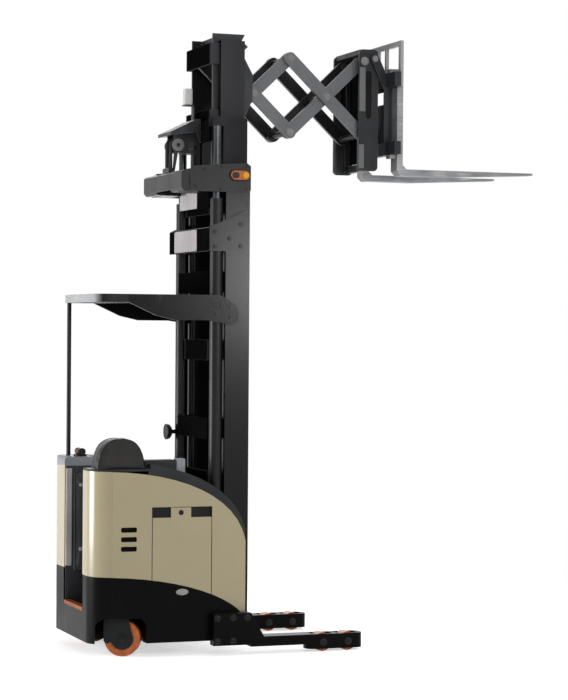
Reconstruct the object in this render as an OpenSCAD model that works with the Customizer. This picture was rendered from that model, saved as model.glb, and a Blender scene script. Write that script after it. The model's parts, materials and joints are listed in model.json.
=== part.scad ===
// Narrow aisle reach truck with a three-stage mast and a double scissor reach.
// X runs forward to the fork tips, Y to the truck's left and Z up from the floor.
// Lengths along X are laid out from the front face of the outer mast rails.

/* [Body] */
// Width over the side covers
body_w = 1060; // [1000:10:1120]
// Mast face back to the rear end
body_back = 1110; // [1080:10:1200]
// Mast face back to the front edge of the covers
cover_front = 50; // [40:5:60]
// Height of the side covers at the rear
cover_top = 1229; // [1200:1:1280]
// Fall of the covers' brow along its arc
cover_drop = 575; // [520:5:600]
// Height of the line between skirt and covers at the rear
skirt_line = 535; // [510:5:560]
// Fall of that line along its arc
skirt_drop = 385; // [350:5:400]
// Ground clearance of the skirt
skirt_bottom = 92; // [80:1:105]
// Radius of the right rear corner in plan
corner_right = 160; // [120:5:180]
// Radius of the left rear corner in plan
corner_left = 135; // [110:5:160]
// Thickness of covers and gates
cover_t = 10; // [6:1:14]
// Rise of the hood above the covers' brow
hood_rise = 72; // [50:2:90]
// Thickness of the hood
hood_t = 12; // [8:1:16]

/* [Battery] */
// Mast face back to the gate's front edge
gate_front = 287; // [280:1:300]
// Length of a battery gate
gate_len = 417; // [390:1:420]
// Top of the covers down to a gate's top edge
gate_drop = 239; // [230:1:280]
// Seam round a gate
seam = 4; // [3:1:6]
// Length of the battery
battery_len = 355; // [330:5:360]
// Top of a gate down to the battery's top
battery_drop = 30; // [20:2:60]
// Gap from the covers' outside to the battery's end
battery_side = 50; // [40:2:70]

/* [Operator compartment] */
// Height of the compartment floor
floor_z = 290; // [285:1:310]
// Mast face back to the bulkhead
bulkhead_back = 715; // [712:1:725]
// Width of the tower on the right of the compartment
tower_right = 250; // [240:5:270]
// Width of the tower on its left
tower_left = 330; // [325:5:360]
// Thickness of the lining walls
lining_t = 10; // [6:1:14]
// Thickness of the right armrest deck
deck_t = 14; // [10:1:20]
// Height of the left console cap
console_h = 61; // [45:1:75]
// Length of the backrest pad
pad_len = 329; // [300:1:340]
// Height of the backrest pad
pad_h = 211; // [180:1:230]
// Thickness of the backrest pad
pad_t = 170; // [130:5:190]

/* [Overhead guard] */
// Height of the guard's top
guard_top = 2400; // [2300:10:2450]
// Thickness of the guard's rim
guard_t = 55; // [40:5:70]
// Width of the guard
guard_w = 880; // [864:4:900]
// Mast face back to the guard's rear edge
guard_back = 1078; // [1060:2:1090]
// Diameter of the guard post
post_d = 30; // [25:1:40]

/* [Mast] */
// Width over the outer rails
mast_w = 860; // [840:4:880]
// Depth of a mast rail
rail_depth = 170; // [160:2:180]
// Width of a mast rail
rail_w = 60; // [54:2:62]
// Flange thickness of a rail
flange_t = 18; // [14:1:22]
// Web thickness of a rail
web_t = 16; // [12:1:20]
// Gap between nested rails
nest_gap = 5; // [5:1:7]
// Foot of the outer rails
outer_foot = 80; // [70:5:95]
// Top of the outer rails
outer_top = 3270; // [3200:10:3400]
// Length of the middle and inner rails
stage_len = 3100; // [3000:10:3150]
// Top of the middle stage as shown
middle_top = 3600; // [3560:10:3700]
// Top of the inner stage as shown
inner_top = 4130; // [4100:10:4200]
// Diameter of a lift cylinder
lift_d = 88; // [80:2:90]
// Diameter of a lift rod
rod_d = 56; // [45:1:60]

/* [Reach] */
// Length of a scissor link between its end pivots
link_len = 738; // [730:1:746]
// Slope of the links as shown, in degrees
link_slope = 43.7; // [42:0.1:45]
// Width of a link
link_w = 84; // [70:2:86]
// Thickness of a link
link_t = 28; // [24:1:30]
// Diameter of the scissor pins
pin_d = 44; // [36:1:50]
// Carriage top down to the rear top pivot
pivot_drop = 139; // [122:1:152]
// Mast face back to the rear pivots
pivot_back = 166; // [162:1:168]
// Top of the reach carriage
carriage_top = 4182; // [4170:2:4200]

/* [Forks] */
// Length of a fork blade
fork_len = 1015; // [900:5:1200]
// Width of a fork
fork_w = 110; // [90:5:125]
// Thickness of a fork
fork_t = 44; // [38:1:50]
// Distance between the fork centres
fork_gap = 632; // [560:4:680]
// Carriage top down to the forks' underside
fork_drop = 935; // [922:1:942]
// Width of the fork carriage
carriage_w = 880; // [840:10:900]

/* [Outriggers] */
// Stand of the outriggers outside the covers
leg_stand = 80; // [70:5:100]
// Width of a leg
leg_w = 130; // [120:5:140]
// Mast face to the leg tips
leg_reach = 776; // [740:4:900]
// Height of a leg's top
leg_top = 118; // [112:1:122]
// Diameter of a load wheel
load_d = 127; // [120:1:128]
// Distance between the axles of two load wheels
axle_gap = 180; // [165:5:200]

/* [Rear wheels] */
// Diameter of the drive wheel
drive_d = 300; // [280:5:305]
// Width of the drive wheel
drive_w = 90; // [80:2:95]
// Diameter of the caster wheel
caster_d = 240; // [220:5:245]
// Width of the caster wheel
caster_w = 76; // [60:2:80]
// Trail of the caster
trail = 45; // [35:1:50]
// Swivel of the caster as shown, in degrees
caster_turn = 25; // [10:1:45]

/* [Hidden] */
$fn = 48;

// Clearances shared by the whole truck
overrun = 20;
run_gap = 0.4;
pin_gap = 0.3;

// Longitudinal layout from the mast face
cover_len = body_back - cover_front;
gate_top = cover_top - gate_drop;
well_right = body_w / 2 - tower_right;
well_left = body_w / 2 - tower_left;
brow_bend = 2.3;
brow_end_share = 0.992;
skirt_bend = 2;
skirt_end_share = 0.97;
arc_steps = 14;
link_w_x = link_len * cos(link_slope);
link_w_z = link_len * sin(link_slope);
front_x = -pivot_back + 2 * link_w_x;
frame_tail = 42;
frame_depth = 142;
tilt_room = 50;
bar_t = 45;
shank_x = front_x - frame_tail + frame_depth + tilt_room + bar_t;
tip_x = shank_x + fork_t + fork_len;
origin_x = (tip_x - body_back) / 2;

// Half widths of the nested stages and the planes of their ties
outer_y = mast_w / 2;
middle_y = outer_y - rail_w - nest_gap;
inner_y = middle_y - rail_w - nest_gap;
carriage_y = inner_y - rail_w - nest_gap;
tie_t = 22;
tie_h = 140;
plate_t = 15;
move_gap = 6;
guide_d = 56;
guide_t = 10;
carriage_rear = -pivot_back - link_w / 2;
inner_tie_x = carriage_rear - move_gap;
middle_tie_x = inner_tie_x - tie_t - move_gap;
outer_tie_x = middle_tie_x - tie_t - move_gap;
mast_rear = outer_tie_x - tie_t;
roller_d = rail_depth - 2 * flange_t - 2 * run_gap;
roller_w = 40;
roller_rise = 100;
lift_x = (outer_tie_x - rail_depth) / 2;
lift_side = 1;
lift_y = outer_y - lift_side - lift_d / 2;
lift_foot = 280;
lift_top = 3050;

// Planes and heights of the scissor reach
link_gap = 7;
link_side = 17;
link_out = carriage_y - plate_t - link_side;
link_in = link_out - link_t - link_gap;
guide_w = 22;
frame_in = link_out + nest_gap + guide_w + run_gap;
frame_plate_t = 18;
frame_out = frame_in + frame_plate_t;
pivot_z = carriage_top - pivot_drop;
pivot_low = pivot_z - link_w_z;
mid_x = -pivot_back + link_w_x;
cross1_x = -pivot_back + link_w_x / 2;
cross2_x = mid_x + link_w_x / 2;
cross_z = pivot_z - link_w_z / 2;

// Box between two opposite corners
module block(low, high) {
    translate(low)
        cube(high - low);
}

// Two copies, the second on the other side of the truck
module both_sides() {
    children();
    mirror([0, 1, 0])
        children();
}

// Outline drawn in X and Z, as thick as the span from y0 to y1
module across(y0, y1) {
    translate([0, y1, 0])
        rotate([90, 0, 0])
            linear_extrude(y1 - y0)
                children();
}

// Round bar along Y from y0 to y1
module bar_y(x, z, d, y0, y1) {
    translate([x, y0, z])
        rotate([-90, 0, 0])
            cylinder(d = d, h = y1 - y0);
}

// Bar outline with round ends between two pivots
module link_outline(x0, z0, x1, z1, w) {
    run = sqrt(pow(x1 - x0, 2) + pow(z1 - z0, 2));
    translate([x0, z0])
        rotate(atan2(z1 - z0, x1 - x0)) {
            translate([0, -w / 2])
                square([run, w]);
            circle(d = w);
            translate([run, 0])
                circle(d = w);
        }
}

// Rectangle with round corners, from its lowest to its highest corner
module round_rect(low, high, r) {
    size = high - low;
    translate(low) {
        translate([r, 0])
            square([size[0] - 2 * r, size[1]]);
        translate([0, r])
            square([size[0], size[1] - 2 * r]);
        for (x = [r, size[0] - r], y = [r, size[1] - r])
            translate([x, y])
                circle(r);
    }
}

// Fall of a rounded brow at share t of its length
function brow(t, bend) = 1 - pow(1 - pow(t, bend), 1 / bend);

// Points of a brow from the rear end to the front edge of the covers
function brow_points(z, drop, bend, end_share) = [
    for (i = [0 : arc_steps])
        let (t = end_share * sin(90 * i / arc_steps))
            [-body_back + cover_len * t / end_share, z - drop * brow(t, bend)]
];

function reversed(list) = [for (i = [len(list) - 1 : -1 : 0]) list[i]];

cover_brow = brow_points(cover_top, cover_drop, brow_bend, brow_end_share);
skirt_brow = brow_points(skirt_line, skirt_drop, skirt_bend, skirt_end_share);
hood_brow = brow_points(cover_top + hood_rise, cover_drop, brow_bend, brow_end_share);

// Plan of the body inside a given wall thickness, open to the front by some length
module body_plan(inset, ahead) {
    r = corner_right - inset;
    l = corner_left - inset;
    half = body_w / 2 - inset;
    rear = -body_back + inset;
    front = ahead - cover_front;
    translate([rear + l, -half])
        square([front - rear - l, 2 * half]);
    translate([rear + r, -half])
        square([l, half]);
    translate([rear, r - half])
        square([l + r, 2 * half - r - l]);
    translate([rear + r, r - half])
        circle(r);
    translate([rear + l, half - l])
        circle(l);
}

// Half space on one side of the truck, from a given distance off the centre line
module side_of(side, from) {
    mirror([0, side < 0 ? 1 : 0, 0])
        block([-2 * body_back, from, 0], [body_back, body_w, guard_top]);
}

// Side cover as one curved sheet, before its openings
module cover_sheet(side, jamb) {
    intersection() {
        linear_extrude(cover_top)
            difference() {
                body_plan(0, 0);
                body_plan(cover_t, overrun);
            }
        across(-body_w, body_w)
            polygon(concat(cover_brow, reversed(skirt_brow)));
        side_of(side, jamb);
    }
}

// Space of the battery gate in either cover
module gate_space(inset) {
    block([inset - gate_front - gate_len, -body_w, 0], [-gate_front - inset, body_w, gate_top - inset]);
}

vent_x = -916;
vent_len = 109;
vent_h = 33;
vent_drop = 528;
vent_z = cover_top - vent_drop;
vent_step = 63;
vent_count = 3;

// Row of vent slots through both covers
module vents() {
    for (i = [0 : vent_count - 1])
        across(-body_w, body_w)
            round_rect([vent_x, vent_z + i * vent_step], [vent_x + vent_len, vent_z + i * vent_step + vent_h],
                vent_h / 3);
}

module cover(side, jamb) {
    color("#cdc5ae")
        difference() {
            cover_sheet(side, jamb);
            gate_space(0);
            vents();
        }
}

notch_shares = [[0, 0.314], [0.648, 1]];
notch_h = 70;

// Gate that drops in beside the battery, with two finger notches in its top edge
module gate(side) {
    color("#cdc5ae")
        difference() {
            intersection() {
                cover_sheet(side, well_left);
                gate_space(seam);
            }
            for (share = notch_shares)
                block([gate_len * share[0] - gate_front - gate_len, -body_w, gate_top - notch_h],
                    [gate_len * share[1] - gate_front - gate_len, body_w, gate_top + overrun]);
        }
}

module right_cover() { cover(-1, well_right); }
module left_cover() { cover(1, well_left); }
module right_gate() { gate(-1); }
module left_gate() { gate(1); }

battery_foot = 180;
battery_h = gate_top - battery_drop - battery_foot;
battery_w = body_w - 2 * battery_side;
bay_gap = 5;
battery_rear = -bulkhead_back + 3 * bay_gap;
drive_x = -870;
drive_side = 172;
drive_y = body_w / 2 - drive_side;
drive_turn_r = sqrt(pow(drive_d, 2) + pow(drive_w, 2)) / 2;
drive_head = drive_d + move_gap;
head_t = 24;
caster_x = -905;
caster_side = 140;
caster_y = caster_side - body_w / 2;
caster_turn_r = sqrt(pow(trail + caster_d / 2, 2) + pow(caster_w / 2, 2));
caster_head = caster_d + move_gap;
yoke_head_t = 12;
arch_r = 60;
slot_gap = 6;

// Space swept under the chassis by a wheel that turns about a vertical pin
module wheel_pocket(x, y, r, ceiling) {
    translate([x, y, -overrun])
        cylinder(r = r + move_gap, h = ceiling + overrun);
}

// Welded base with the black skirt, the compartment floor, the battery tray and the wheel pockets
module base_frame() {
    arch_top = caster_head + yoke_head_t + pin_gap;
    color("#2a2b2e")
        difference() {
            intersection() {
                linear_extrude(skirt_line)
                    body_plan(0, 0);
                across(-body_w, body_w)
                    polygon(concat(skirt_brow, [[-cover_front, skirt_bottom], [-body_back, skirt_bottom]]));
            }
            block([-body_back - overrun, -well_right - lining_t, floor_z],
                [-bulkhead_back, well_left + lining_t, skirt_line + overrun]);
            block([battery_rear - bay_gap, -battery_w / 2 - bay_gap, battery_foot],
                [battery_rear + battery_len + bay_gap, battery_w / 2 + bay_gap, skirt_line + overrun]);
            block([mast_rear - slot_gap, -outer_y, 0], [overrun, outer_y, skirt_line + overrun]);
            wheel_pocket(drive_x, drive_y, drive_turn_r, drive_head + head_t + pin_gap);
            wheel_pocket(caster_x, caster_y, caster_turn_r, arch_top);
            across(-body_w, caster_y)
                round_rect([caster_x - caster_turn_r, -body_back], [caster_x + caster_turn_r, arch_top],
                    arch_r);
        }
}

// Outline of the hood, sunk below its top by a wall thickness
module hood_outline(sink, lap) {
    intersection() {
        polygon(concat(
            [for (p = hood_brow) [p[0], p[1] - sink]],
            reversed([for (p = cover_brow) [p[0], p[1] - lap]])
        ));
        translate([sink - bulkhead_back, 0])
            square([bulkhead_back - cover_front - 2 * sink, guard_top]);
    }
}

hood_lap = 40;

// Crowned hood over the battery, slotted round the mast
module hood() {
    half = body_w / 2 - cover_t;
    color("#37383b")
        difference() {
            across(-half, half)
                hood_outline(0, hood_lap);
            across(hood_t - half, half - hood_t)
                hood_outline(hood_t, hood_lap + overrun);
            block([mast_rear - slot_gap, -outer_y - slot_gap, 0], [0, outer_y + slot_gap, guard_top]);
        }
}

// Bulkhead and side walls of the operator's compartment, open at the rear and the top
module compartment_lining() {
    right = -well_right - lining_t;
    left = well_left + lining_t;
    half = body_w / 2 - cover_t;
    color("#4a4c50") {
        difference() {
            block([cover_t - body_back, right, floor_z], [-bulkhead_back, left, cover_top]);
            block([-body_back - overrun, -well_right, 0], [-bulkhead_back - lining_t, well_left, guard_top]);
        }
        block([-bulkhead_back - lining_t, -half, skirt_line], [-bulkhead_back, half, cover_top]);
    }
}

// Part of the body plan over one of the two towers beside the compartment
module tower_plan(side, from) {
    intersection() {
        body_plan(0, 0);
        mirror([0, side < 0 ? 1 : 0])
            translate([-body_back, from])
                square([body_back - bulkhead_back, body_w]);
    }
}

module right_deck() {
    color("#303134")
        translate([0, 0, cover_top])
            linear_extrude(deck_t)
                tower_plan(-1, well_right);
}

console_r = 28;

module console_cap() {
    color("#8b8d92")
        intersection() {
            translate([0, 0, cover_top])
                linear_extrude(console_h)
                    tower_plan(1, well_left);
            across(0, body_w)
                round_rect([-body_back, floor_z], [-bulkhead_back, cover_top + console_h], console_r);
        }
}

pad_rear = 35;
pad_bend = 2.4;
pad_inset = 14;
pad_steps = 16;

// Rounded backrest pad that stands on the right deck
module backrest_pad() {
    color("#303030")
        across(pad_inset - body_w / 2, pad_inset + pad_t - body_w / 2)
            translate([pad_rear - body_back, cover_top + deck_t])
                polygon([
                    for (i = [0 : pad_steps])
                        let (s = cos(180 * i / pad_steps))
                            [pad_len * (1 - s) / 2, pad_h * pow(1 - pow(abs(s), pad_bend), 1 / pad_bend)]
                ]);
}

entry_pad_t = 36;
entry_pad_rear = 55;
entry_pad_len = 270;
entry_pad_drop = 29;
entry_pad_h = 700;
entry_pad_high = cover_top - entry_pad_drop;
entry_pad_low = entry_pad_high - entry_pad_h;
entry_pad_r = 40;

// Flat pad on the left wall of the compartment
module entry_pad() {
    color("#55575b")
        across(well_left - entry_pad_t, well_left)
            round_rect([entry_pad_rear - body_back, entry_pad_low],
                [entry_pad_rear + entry_pad_len - body_back, entry_pad_high], entry_pad_r);
}

entry_bar_h = 24;
entry_bar_len = 46;

// Orange bar along the threshold of the entry
module entry_bar() {
    color("#d2752d")
        block([-body_back, -well_right, floor_z],
            [entry_bar_len - body_back, well_left, floor_z + entry_bar_h]);
}

handle_x = -985;
handle_in = 65;
handle_y = well_left + handle_in;
handle_base_d = 90;
handle_base_h = 16;
handle_neck_d = 34;
handle_neck_h = 18;
handle_grip_d = 48;
handle_grip_len = 120;

// Control handle on the console: a round foot, a neck and a grip across the truck
module control_handle() {
    color("#2b2c2f")
        translate([handle_x, handle_y, cover_top + console_h]) {
            cylinder(d = handle_base_d, h = handle_base_h);
            cylinder(d = handle_neck_d, h = handle_base_h + handle_neck_h);
            translate([0, -handle_grip_len / 2, handle_base_h + handle_neck_h])
                rotate([-90, 0, 0])
                    cylinder(d = handle_grip_d, h = handle_grip_len);
        }
}

module battery() {
    color("#3f4a4f")
        block([battery_rear, -battery_w / 2, battery_foot],
            [battery_rear + battery_len, battery_w / 2, battery_foot + battery_h]);
}

rim_len = 230;
guard_r = 110;
arm_t = 15;
arm_h = 200;
arm_front = 72;
arm_len = guard_back - rim_len - arm_front;
arm_shares = [[0, 1], [0.82, 1], [0.95, 0.72], [1, 0.4], [0.985, 0.1], [0.94, 0], [0.7, 0.15], [0.41, 0.15],
    [0.24, 0.3], [0, 0.725]];
bar_count = 6;
bar_share = 0.42;
edge_w = 60;

// Plan of the whole guard up to the mast
module guard_plan() {
    round_rect([-guard_back, -guard_w / 2], [mast_rear - slot_gap, guard_w / 2], guard_r);
}

// Overhead guard: a barred top and two curved arms against the outer rails
module overhead_guard() {
    front = mast_rear - slot_gap;
    rear = rim_len - guard_back;
    pitch = (guard_w - 2 * edge_w) / bar_count;
    color("#2c2d30") {
        translate([0, 0, guard_top - guard_t])
            linear_extrude(guard_t)
                difference() {
                    guard_plan();
                    translate([-guard_back, -guard_w])
                        square([rim_len, 2 * guard_w]);
                    for (i = [0 : bar_count - 1])
                        translate([rear + edge_w, edge_w - guard_w / 2 + pitch * (i + bar_share / 2)])
                            square([front - rear - 2 * edge_w, pitch * (1 - bar_share)]);
                }
        both_sides()
            across(outer_y, outer_y + arm_t)
                polygon([for (p = arm_shares)
                    [arm_len * p[0] - arm_len - arm_front, guard_top - arm_h + arm_h * p[1]]]);
    }
}

// Light rim round the rear of the guard
module guard_rim() {
    color("#b9babc")
        translate([0, 0, guard_top - guard_t])
            linear_extrude(guard_t)
                intersection() {
                    guard_plan();
                    translate([-guard_back, -guard_w])
                        square([rim_len, 2 * guard_w]);
                }
}

post_x = -1037;
post_side = 145;
post_y = body_w / 2 - post_side;

module guard_post() {
    color("#4b4c4f")
        translate([post_x, post_y, cover_top + console_h])
            cylinder(d = post_d, h = guard_top - guard_t - cover_top - console_h);
}

// One rolled channel of a mast stage, open towards the centre line
module rail(y_out, low, high) {
    translate([0, 0, low])
        linear_extrude(high - low)
            difference() {
                translate([-rail_depth, y_out - rail_w])
                    square([rail_depth, rail_w]);
                translate([flange_t - rail_depth, y_out - rail_w - overrun])
                    square([rail_depth - 2 * flange_t, rail_w + overrun - web_t]);
            }
}

leg_plate = 24;
leg_inset = 3;

// Plate of a cross tie behind a stage
module tie_plate(y_out, x, low) {
    y_end = y_out - rail_w + leg_inset + leg_plate;
    block([x - tie_t, -y_end, low], [x, y_end, low + tie_h]);
}

// Legs of a cross tie, from its plate forward to either rail
module tie_legs(y_out, x, low) {
    y_in = y_out - rail_w + leg_inset;
    both_sides()
        block([x, y_in, low], [flange_t - rail_depth, y_in + leg_plate, low + tie_h]);
}

// Rollers on the outside of a stage, running in the next rail out
module stage_rollers(y_out, low) {
    both_sides()
        bar_y(-rail_depth / 2, low + roller_rise, roller_d, y_out, y_out + nest_gap + roller_w);
}

ear_t = 12;
ear_rise = 295;
ear_low = guard_top + ear_rise;
ear_front = 30;
foot_low = 110;
outer_tie_h = 160;

// Outer stage: two rails, a bottom tie with the lift cylinders' feet and an eared top tie
module outer_mast() {
    color("#333437") {
        both_sides() {
            rail(outer_y, outer_foot, outer_top);
            block([mast_rear, outer_y - rail_w, foot_low], [flange_t - rail_depth, outer_y, lift_foot]);
            across(outer_y, outer_y + ear_t)
                polygon([
                    [mast_rear, ear_low],
                    [-ear_front, ear_low],
                    [-ear_front, ear_low + 2 * tie_h],
                    [mast_rear, ear_low + outer_tie_h]
                ]);
        }
        block([mast_rear, -outer_y, foot_low], [outer_tie_x, outer_y, foot_low + outer_tie_h]);
        block([mast_rear, -outer_y - ear_t, ear_low], [outer_tie_x, outer_y + ear_t, ear_low + outer_tie_h]);
    }
}

hood_back = 440;
hood_low = 3094;
hood_high = 3290;
hood_shares = [[0.03, 0], [0, 0.3], [0.02, 0.74], [0.1, 0.86], [0.5, 0.94], [0.94, 1], [1, 0.9], [1, 0.06],
    [0.96, 0]];
hood_plate = 15;
tray_in = 160;
tray_end_share = 0.318;

// Hood round the top of the outer stage, in two halves that leave the middle open for the sheaves
module mast_hood() {
    color("#2e2f32")
        both_sides() {
            across(outer_y, outer_y + hood_plate)
                polygon([for (p = hood_shares)
                    [hood_back * p[0] - hood_back, hood_low + (hood_high - hood_low) * p[1]]]);
            intersection() {
                across(tray_in, outer_y)
                    difference() {
                        polygon([for (p = hood_shares)
                            [hood_back * p[0] - hood_back, hood_low + (hood_high - hood_low) * p[1]]]);
                        translate([hood_plate, 2 * hood_plate])
                            polygon([for (p = hood_shares)
                                [hood_back * p[0] - hood_back, hood_low + (hood_high - hood_low) * p[1]]]);
                    }
                block([-hood_back, 0, hood_low],
                    [hood_back * tray_end_share - hood_back, outer_y, hood_high]);
            }
        }
}

barrel_floor = 20;

module lift_barrels() {
    color("#2f3033")
        both_sides()
            translate([lift_x, lift_y, lift_foot])
                difference() {
                    cylinder(d = lift_d, h = lift_top - lift_foot);
                    translate([0, 0, barrel_floor])
                        cylinder(d = rod_d + 2 * pin_gap, h = lift_top - lift_foot);
                }
}

reflector_x = -150;
reflector_len = 145;
reflector_h = 74;
reflector_z = 3170;
reflector_t = 9;

// Oval amber reflector on the right side of the mast hood
module amber_reflector() {
    color("#d98a2b")
        across(-outer_y - hood_plate - reflector_t, -outer_y - hood_plate)
            link_outline(reflector_x + reflector_h / 2, reflector_z + reflector_h / 2,
                reflector_x + reflector_len - reflector_h / 2, reflector_z + reflector_h / 2, reflector_h);
}

leg_over = body_w + 2 * leg_stand;
leg_foot = 18;
leg_root = -34;
bracket_back = -295;
bracket_low = 66;
bracket_high = 280;
bracket_nose = 60;
leg_wall = 15;
wheel_side_gap = 4;
wheel_room = 8;
axle_d = 25;
tip_gap = 111;
tip_r = 55;
load_x = [leg_reach - tip_gap, leg_reach - tip_gap - axle_gap];
load_y = leg_over / 2 - leg_w / 2;
load_w = leg_w - 2 * leg_wall - 2 * wheel_side_gap;
housing_len = 406;
beam_low = 52;

// Outrigger leg: a bracket against the skirt, a low beam and a housing for two load wheels
module leg(side) {
    color("#2d2e31")
        mirror([0, side < 0 ? 1 : 0, 0]) {
            across(body_w / 2, leg_over / 2)
                polygon([
                    [bracket_back, bracket_low],
                    [bracket_nose, bracket_low],
                    [bracket_nose, leg_top],
                    [leg_root, bracket_high],
                    [bracket_back, bracket_high]
                ]);
            difference() {
                union() {
                    block([leg_root, leg_over / 2 - leg_w, beam_low],
                        [leg_reach - housing_len + tip_r, leg_over / 2, leg_top]);
                    translate([0, 0, leg_foot])
                        linear_extrude(leg_top - leg_foot)
                            round_rect([leg_reach - housing_len, leg_over / 2 - leg_w],
                                [leg_reach, leg_over / 2], tip_r);
                }
                for (x = load_x)
                    block([x - load_d / 2 - wheel_room, leg_over / 2 - leg_w + leg_wall, 0],
                        [x + load_d / 2 + wheel_room, leg_over / 2 - leg_wall, leg_top + overrun]);
            }
            for (x = load_x)
                bar_y(x, load_d / 2, axle_d, leg_over / 2 - leg_w + leg_wall / 2,
                    leg_over / 2 - leg_wall / 2);
        }
}

module right_leg() { leg(-1); }
module left_leg() { leg(1); }

rim_recess = 8;
rim_recess_share = 0.62;

// Solid wheel about its own centre, axle along Y, with a recess in either face round a bored hub
module wheel(d, w, bore, hub_d) {
    difference() {
        bar_y(0, 0, d, -w / 2, w / 2);
        for (side = [-1, 1])
            translate([0, side * w / 2, 0])
                difference() {
                    bar_y(0, 0, d * rim_recess_share, -rim_recess, rim_recess);
                    bar_y(0, 0, hub_d, -rim_recess - overrun, rim_recess + overrun);
                }
        bar_y(0, 0, bore, -w, w);
    }
}

hub_share = 0.36;

module load_wheel(side, x) {
    color("#d2752d")
        translate([x, side * load_y, load_d / 2])
            wheel(load_d, load_w, axle_d + 2 * pin_gap, load_d * hub_share);
}

module load_wheel_rf() { load_wheel(-1, load_x[0]); }
module load_wheel_rr() { load_wheel(-1, load_x[1]); }
module load_wheel_lf() { load_wheel(1, load_x[0]); }
module load_wheel_lr() { load_wheel(1, load_x[1]); }

drive_axle_d = 60;
drive_head_d = 270;
hanger_t = 44;
hanger_w = 150;

// Steered drive unit: a round head under the chassis, a hanger beside the wheel and its axle
module drive_unit() {
    hanger_y = drive_w / 2 + move_gap;
    color("#3a3b3e")
        translate([drive_x, drive_y, 0]) {
            translate([0, 0, drive_head])
                cylinder(d = drive_head_d, h = head_t);
            across(hanger_y, hanger_y + hanger_t) {
                translate([-hanger_w / 2, drive_d / 2])
                    square([hanger_w, drive_d / 2 + move_gap]);
                translate([0, drive_d / 2])
                    circle(d = hanger_w);
            }
            bar_y(0, drive_d / 2, drive_axle_d, -drive_w / 2, hanger_y);
        }
}

module drive_wheel() {
    color("#c46f31")
        translate([drive_x, drive_y, drive_d / 2])
            wheel(drive_d, drive_w, drive_axle_d + 2 * pin_gap, drive_d * hub_share);
}

caster_axle_d = 30;
yoke_t = 12;
yoke_w = 146;
yoke_head_d = 150;

// Caster about its swivel pin, turned as it stands
module at_caster() {
    translate([caster_x, caster_y, 0])
        rotate(-caster_turn)
            children();
}

// Caster yoke: a round head and two raked arms that carry the axle
module caster_yoke() {
    arm_y = caster_w / 2 + move_gap;
    color("#3d3f43")
        at_caster() {
            translate([0, 0, caster_head])
                cylinder(d = yoke_head_d, h = yoke_head_t);
            both_sides()
                across(arm_y, arm_y + yoke_t)
                    intersection() {
                        link_outline(0, caster_head + yoke_w / 2, trail, caster_d / 2, yoke_w);
                        translate([-yoke_head_d, 0])
                            square([2 * yoke_head_d, caster_head + yoke_head_t]);
                    }
            bar_y(trail, caster_d / 2, caster_axle_d, -arm_y, arm_y);
        }
}

module caster_wheel() {
    color("#d2752d")
        at_caster()
            translate([trail, 0, caster_d / 2])
                wheel(caster_d, caster_w, caster_axle_d + 2 * pin_gap, caster_d * hub_share);
}

tie_shares = [0.012, 0.3, 0.62, 0.804, 0.949];
bracket_h = 60;
bracket_in = 335;
bracket_out = 420;
rod_foot = 900;

// Middle stage: rails with the legs of the ties, rollers and the two brackets that the lift rods push
module middle_mast() {
    foot = middle_top - stage_len;
    color("#3a3b3e") {
        both_sides() {
            rail(middle_y, foot, middle_top);
            block([outer_tie_x + move_gap, bracket_in, middle_top - bracket_h],
                [-rail_depth - nest_gap, bracket_out, middle_top]);
            block([-rail_depth - nest_gap, bracket_in, middle_top - bracket_h],
                [flange_t - rail_depth, middle_y, middle_top]);
        }
        for (share = tie_shares)
            tie_legs(middle_y, middle_tie_x, foot + stage_len * share);
        stage_rollers(middle_y, foot);
    }
}

// Plates that tie the two rails of the middle stage
module middle_ties() {
    color("#3a3b3e")
        for (share = tie_shares)
            tie_plate(middle_y, middle_tie_x, middle_top - stage_len + stage_len * share);
}

module lift_rods() {
    color("#c9ccd0")
        both_sides()
            translate([lift_x, lift_y, rod_foot])
                cylinder(d = rod_d, h = middle_top - bracket_h - rod_foot);
}

wedge_half = 150;
wedge_back = 475;
wedge_tip_drop = 89;
wedge_top_rise = 2;
wedge_tip_z = middle_top - wedge_tip_drop;
wedge_top_z = middle_top + wedge_top_rise;
wedge_flat = 292;
wedge_t = 22;
sheave_x = -384;
sheave_drop = 173;
sheave_z = middle_top - sheave_drop;
sheave_d = 100;
sheave_pin_d = 24;
sheave_in = 20;
sheave_out = 66;
cheek_in = 70;
cheek_t = 12;
cheek_back = -430;
cheek_drop = 215;
cheek_low = middle_top - cheek_drop;

// Hose sheaves in a bracket behind the top of the middle stage, under a wedge-shaped cover plate
module sheave_bracket() {
    front = middle_tie_x - tie_t;
    tie_low = middle_top - stage_len + stage_len * tie_shares[4];
    color("#4a4c50") {
        across(-wedge_half, wedge_half)
            polygon([
                [front, wedge_top_z],
                [-wedge_flat, wedge_top_z],
                [-wedge_back, wedge_tip_z],
                [-wedge_back, wedge_tip_z - wedge_t],
                [-wedge_flat, wedge_tip_z],
                [front, tie_low]
            ]);
        both_sides() {
            across(cheek_in, cheek_in + cheek_t)
                polygon([
                    [front, tie_low + tie_h],
                    [cheek_back, wedge_tip_z],
                    [cheek_back, cheek_low],
                    [sheave_x + sheave_d / 2, cheek_low],
                    [front, tie_low]
                ]);
            bar_y(sheave_x, sheave_z, sheave_d, sheave_in, sheave_out);
        }
        bar_y(sheave_x, sheave_z, sheave_pin_d, -cheek_in - cheek_t, cheek_in + cheek_t);
    }
}

// Inner stage: rails, ties and rollers
module inner_mast() {
    foot = inner_top - stage_len;
    color("#56585c") {
        both_sides()
            rail(inner_y, foot, inner_top);
        for (share = tie_shares) {
            tie_plate(inner_y, inner_tie_x, foot + stage_len * share);
            tie_legs(inner_y, inner_tie_x, foot + stage_len * share);
        }
        stage_rollers(inner_y, foot);
    }
}

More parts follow.
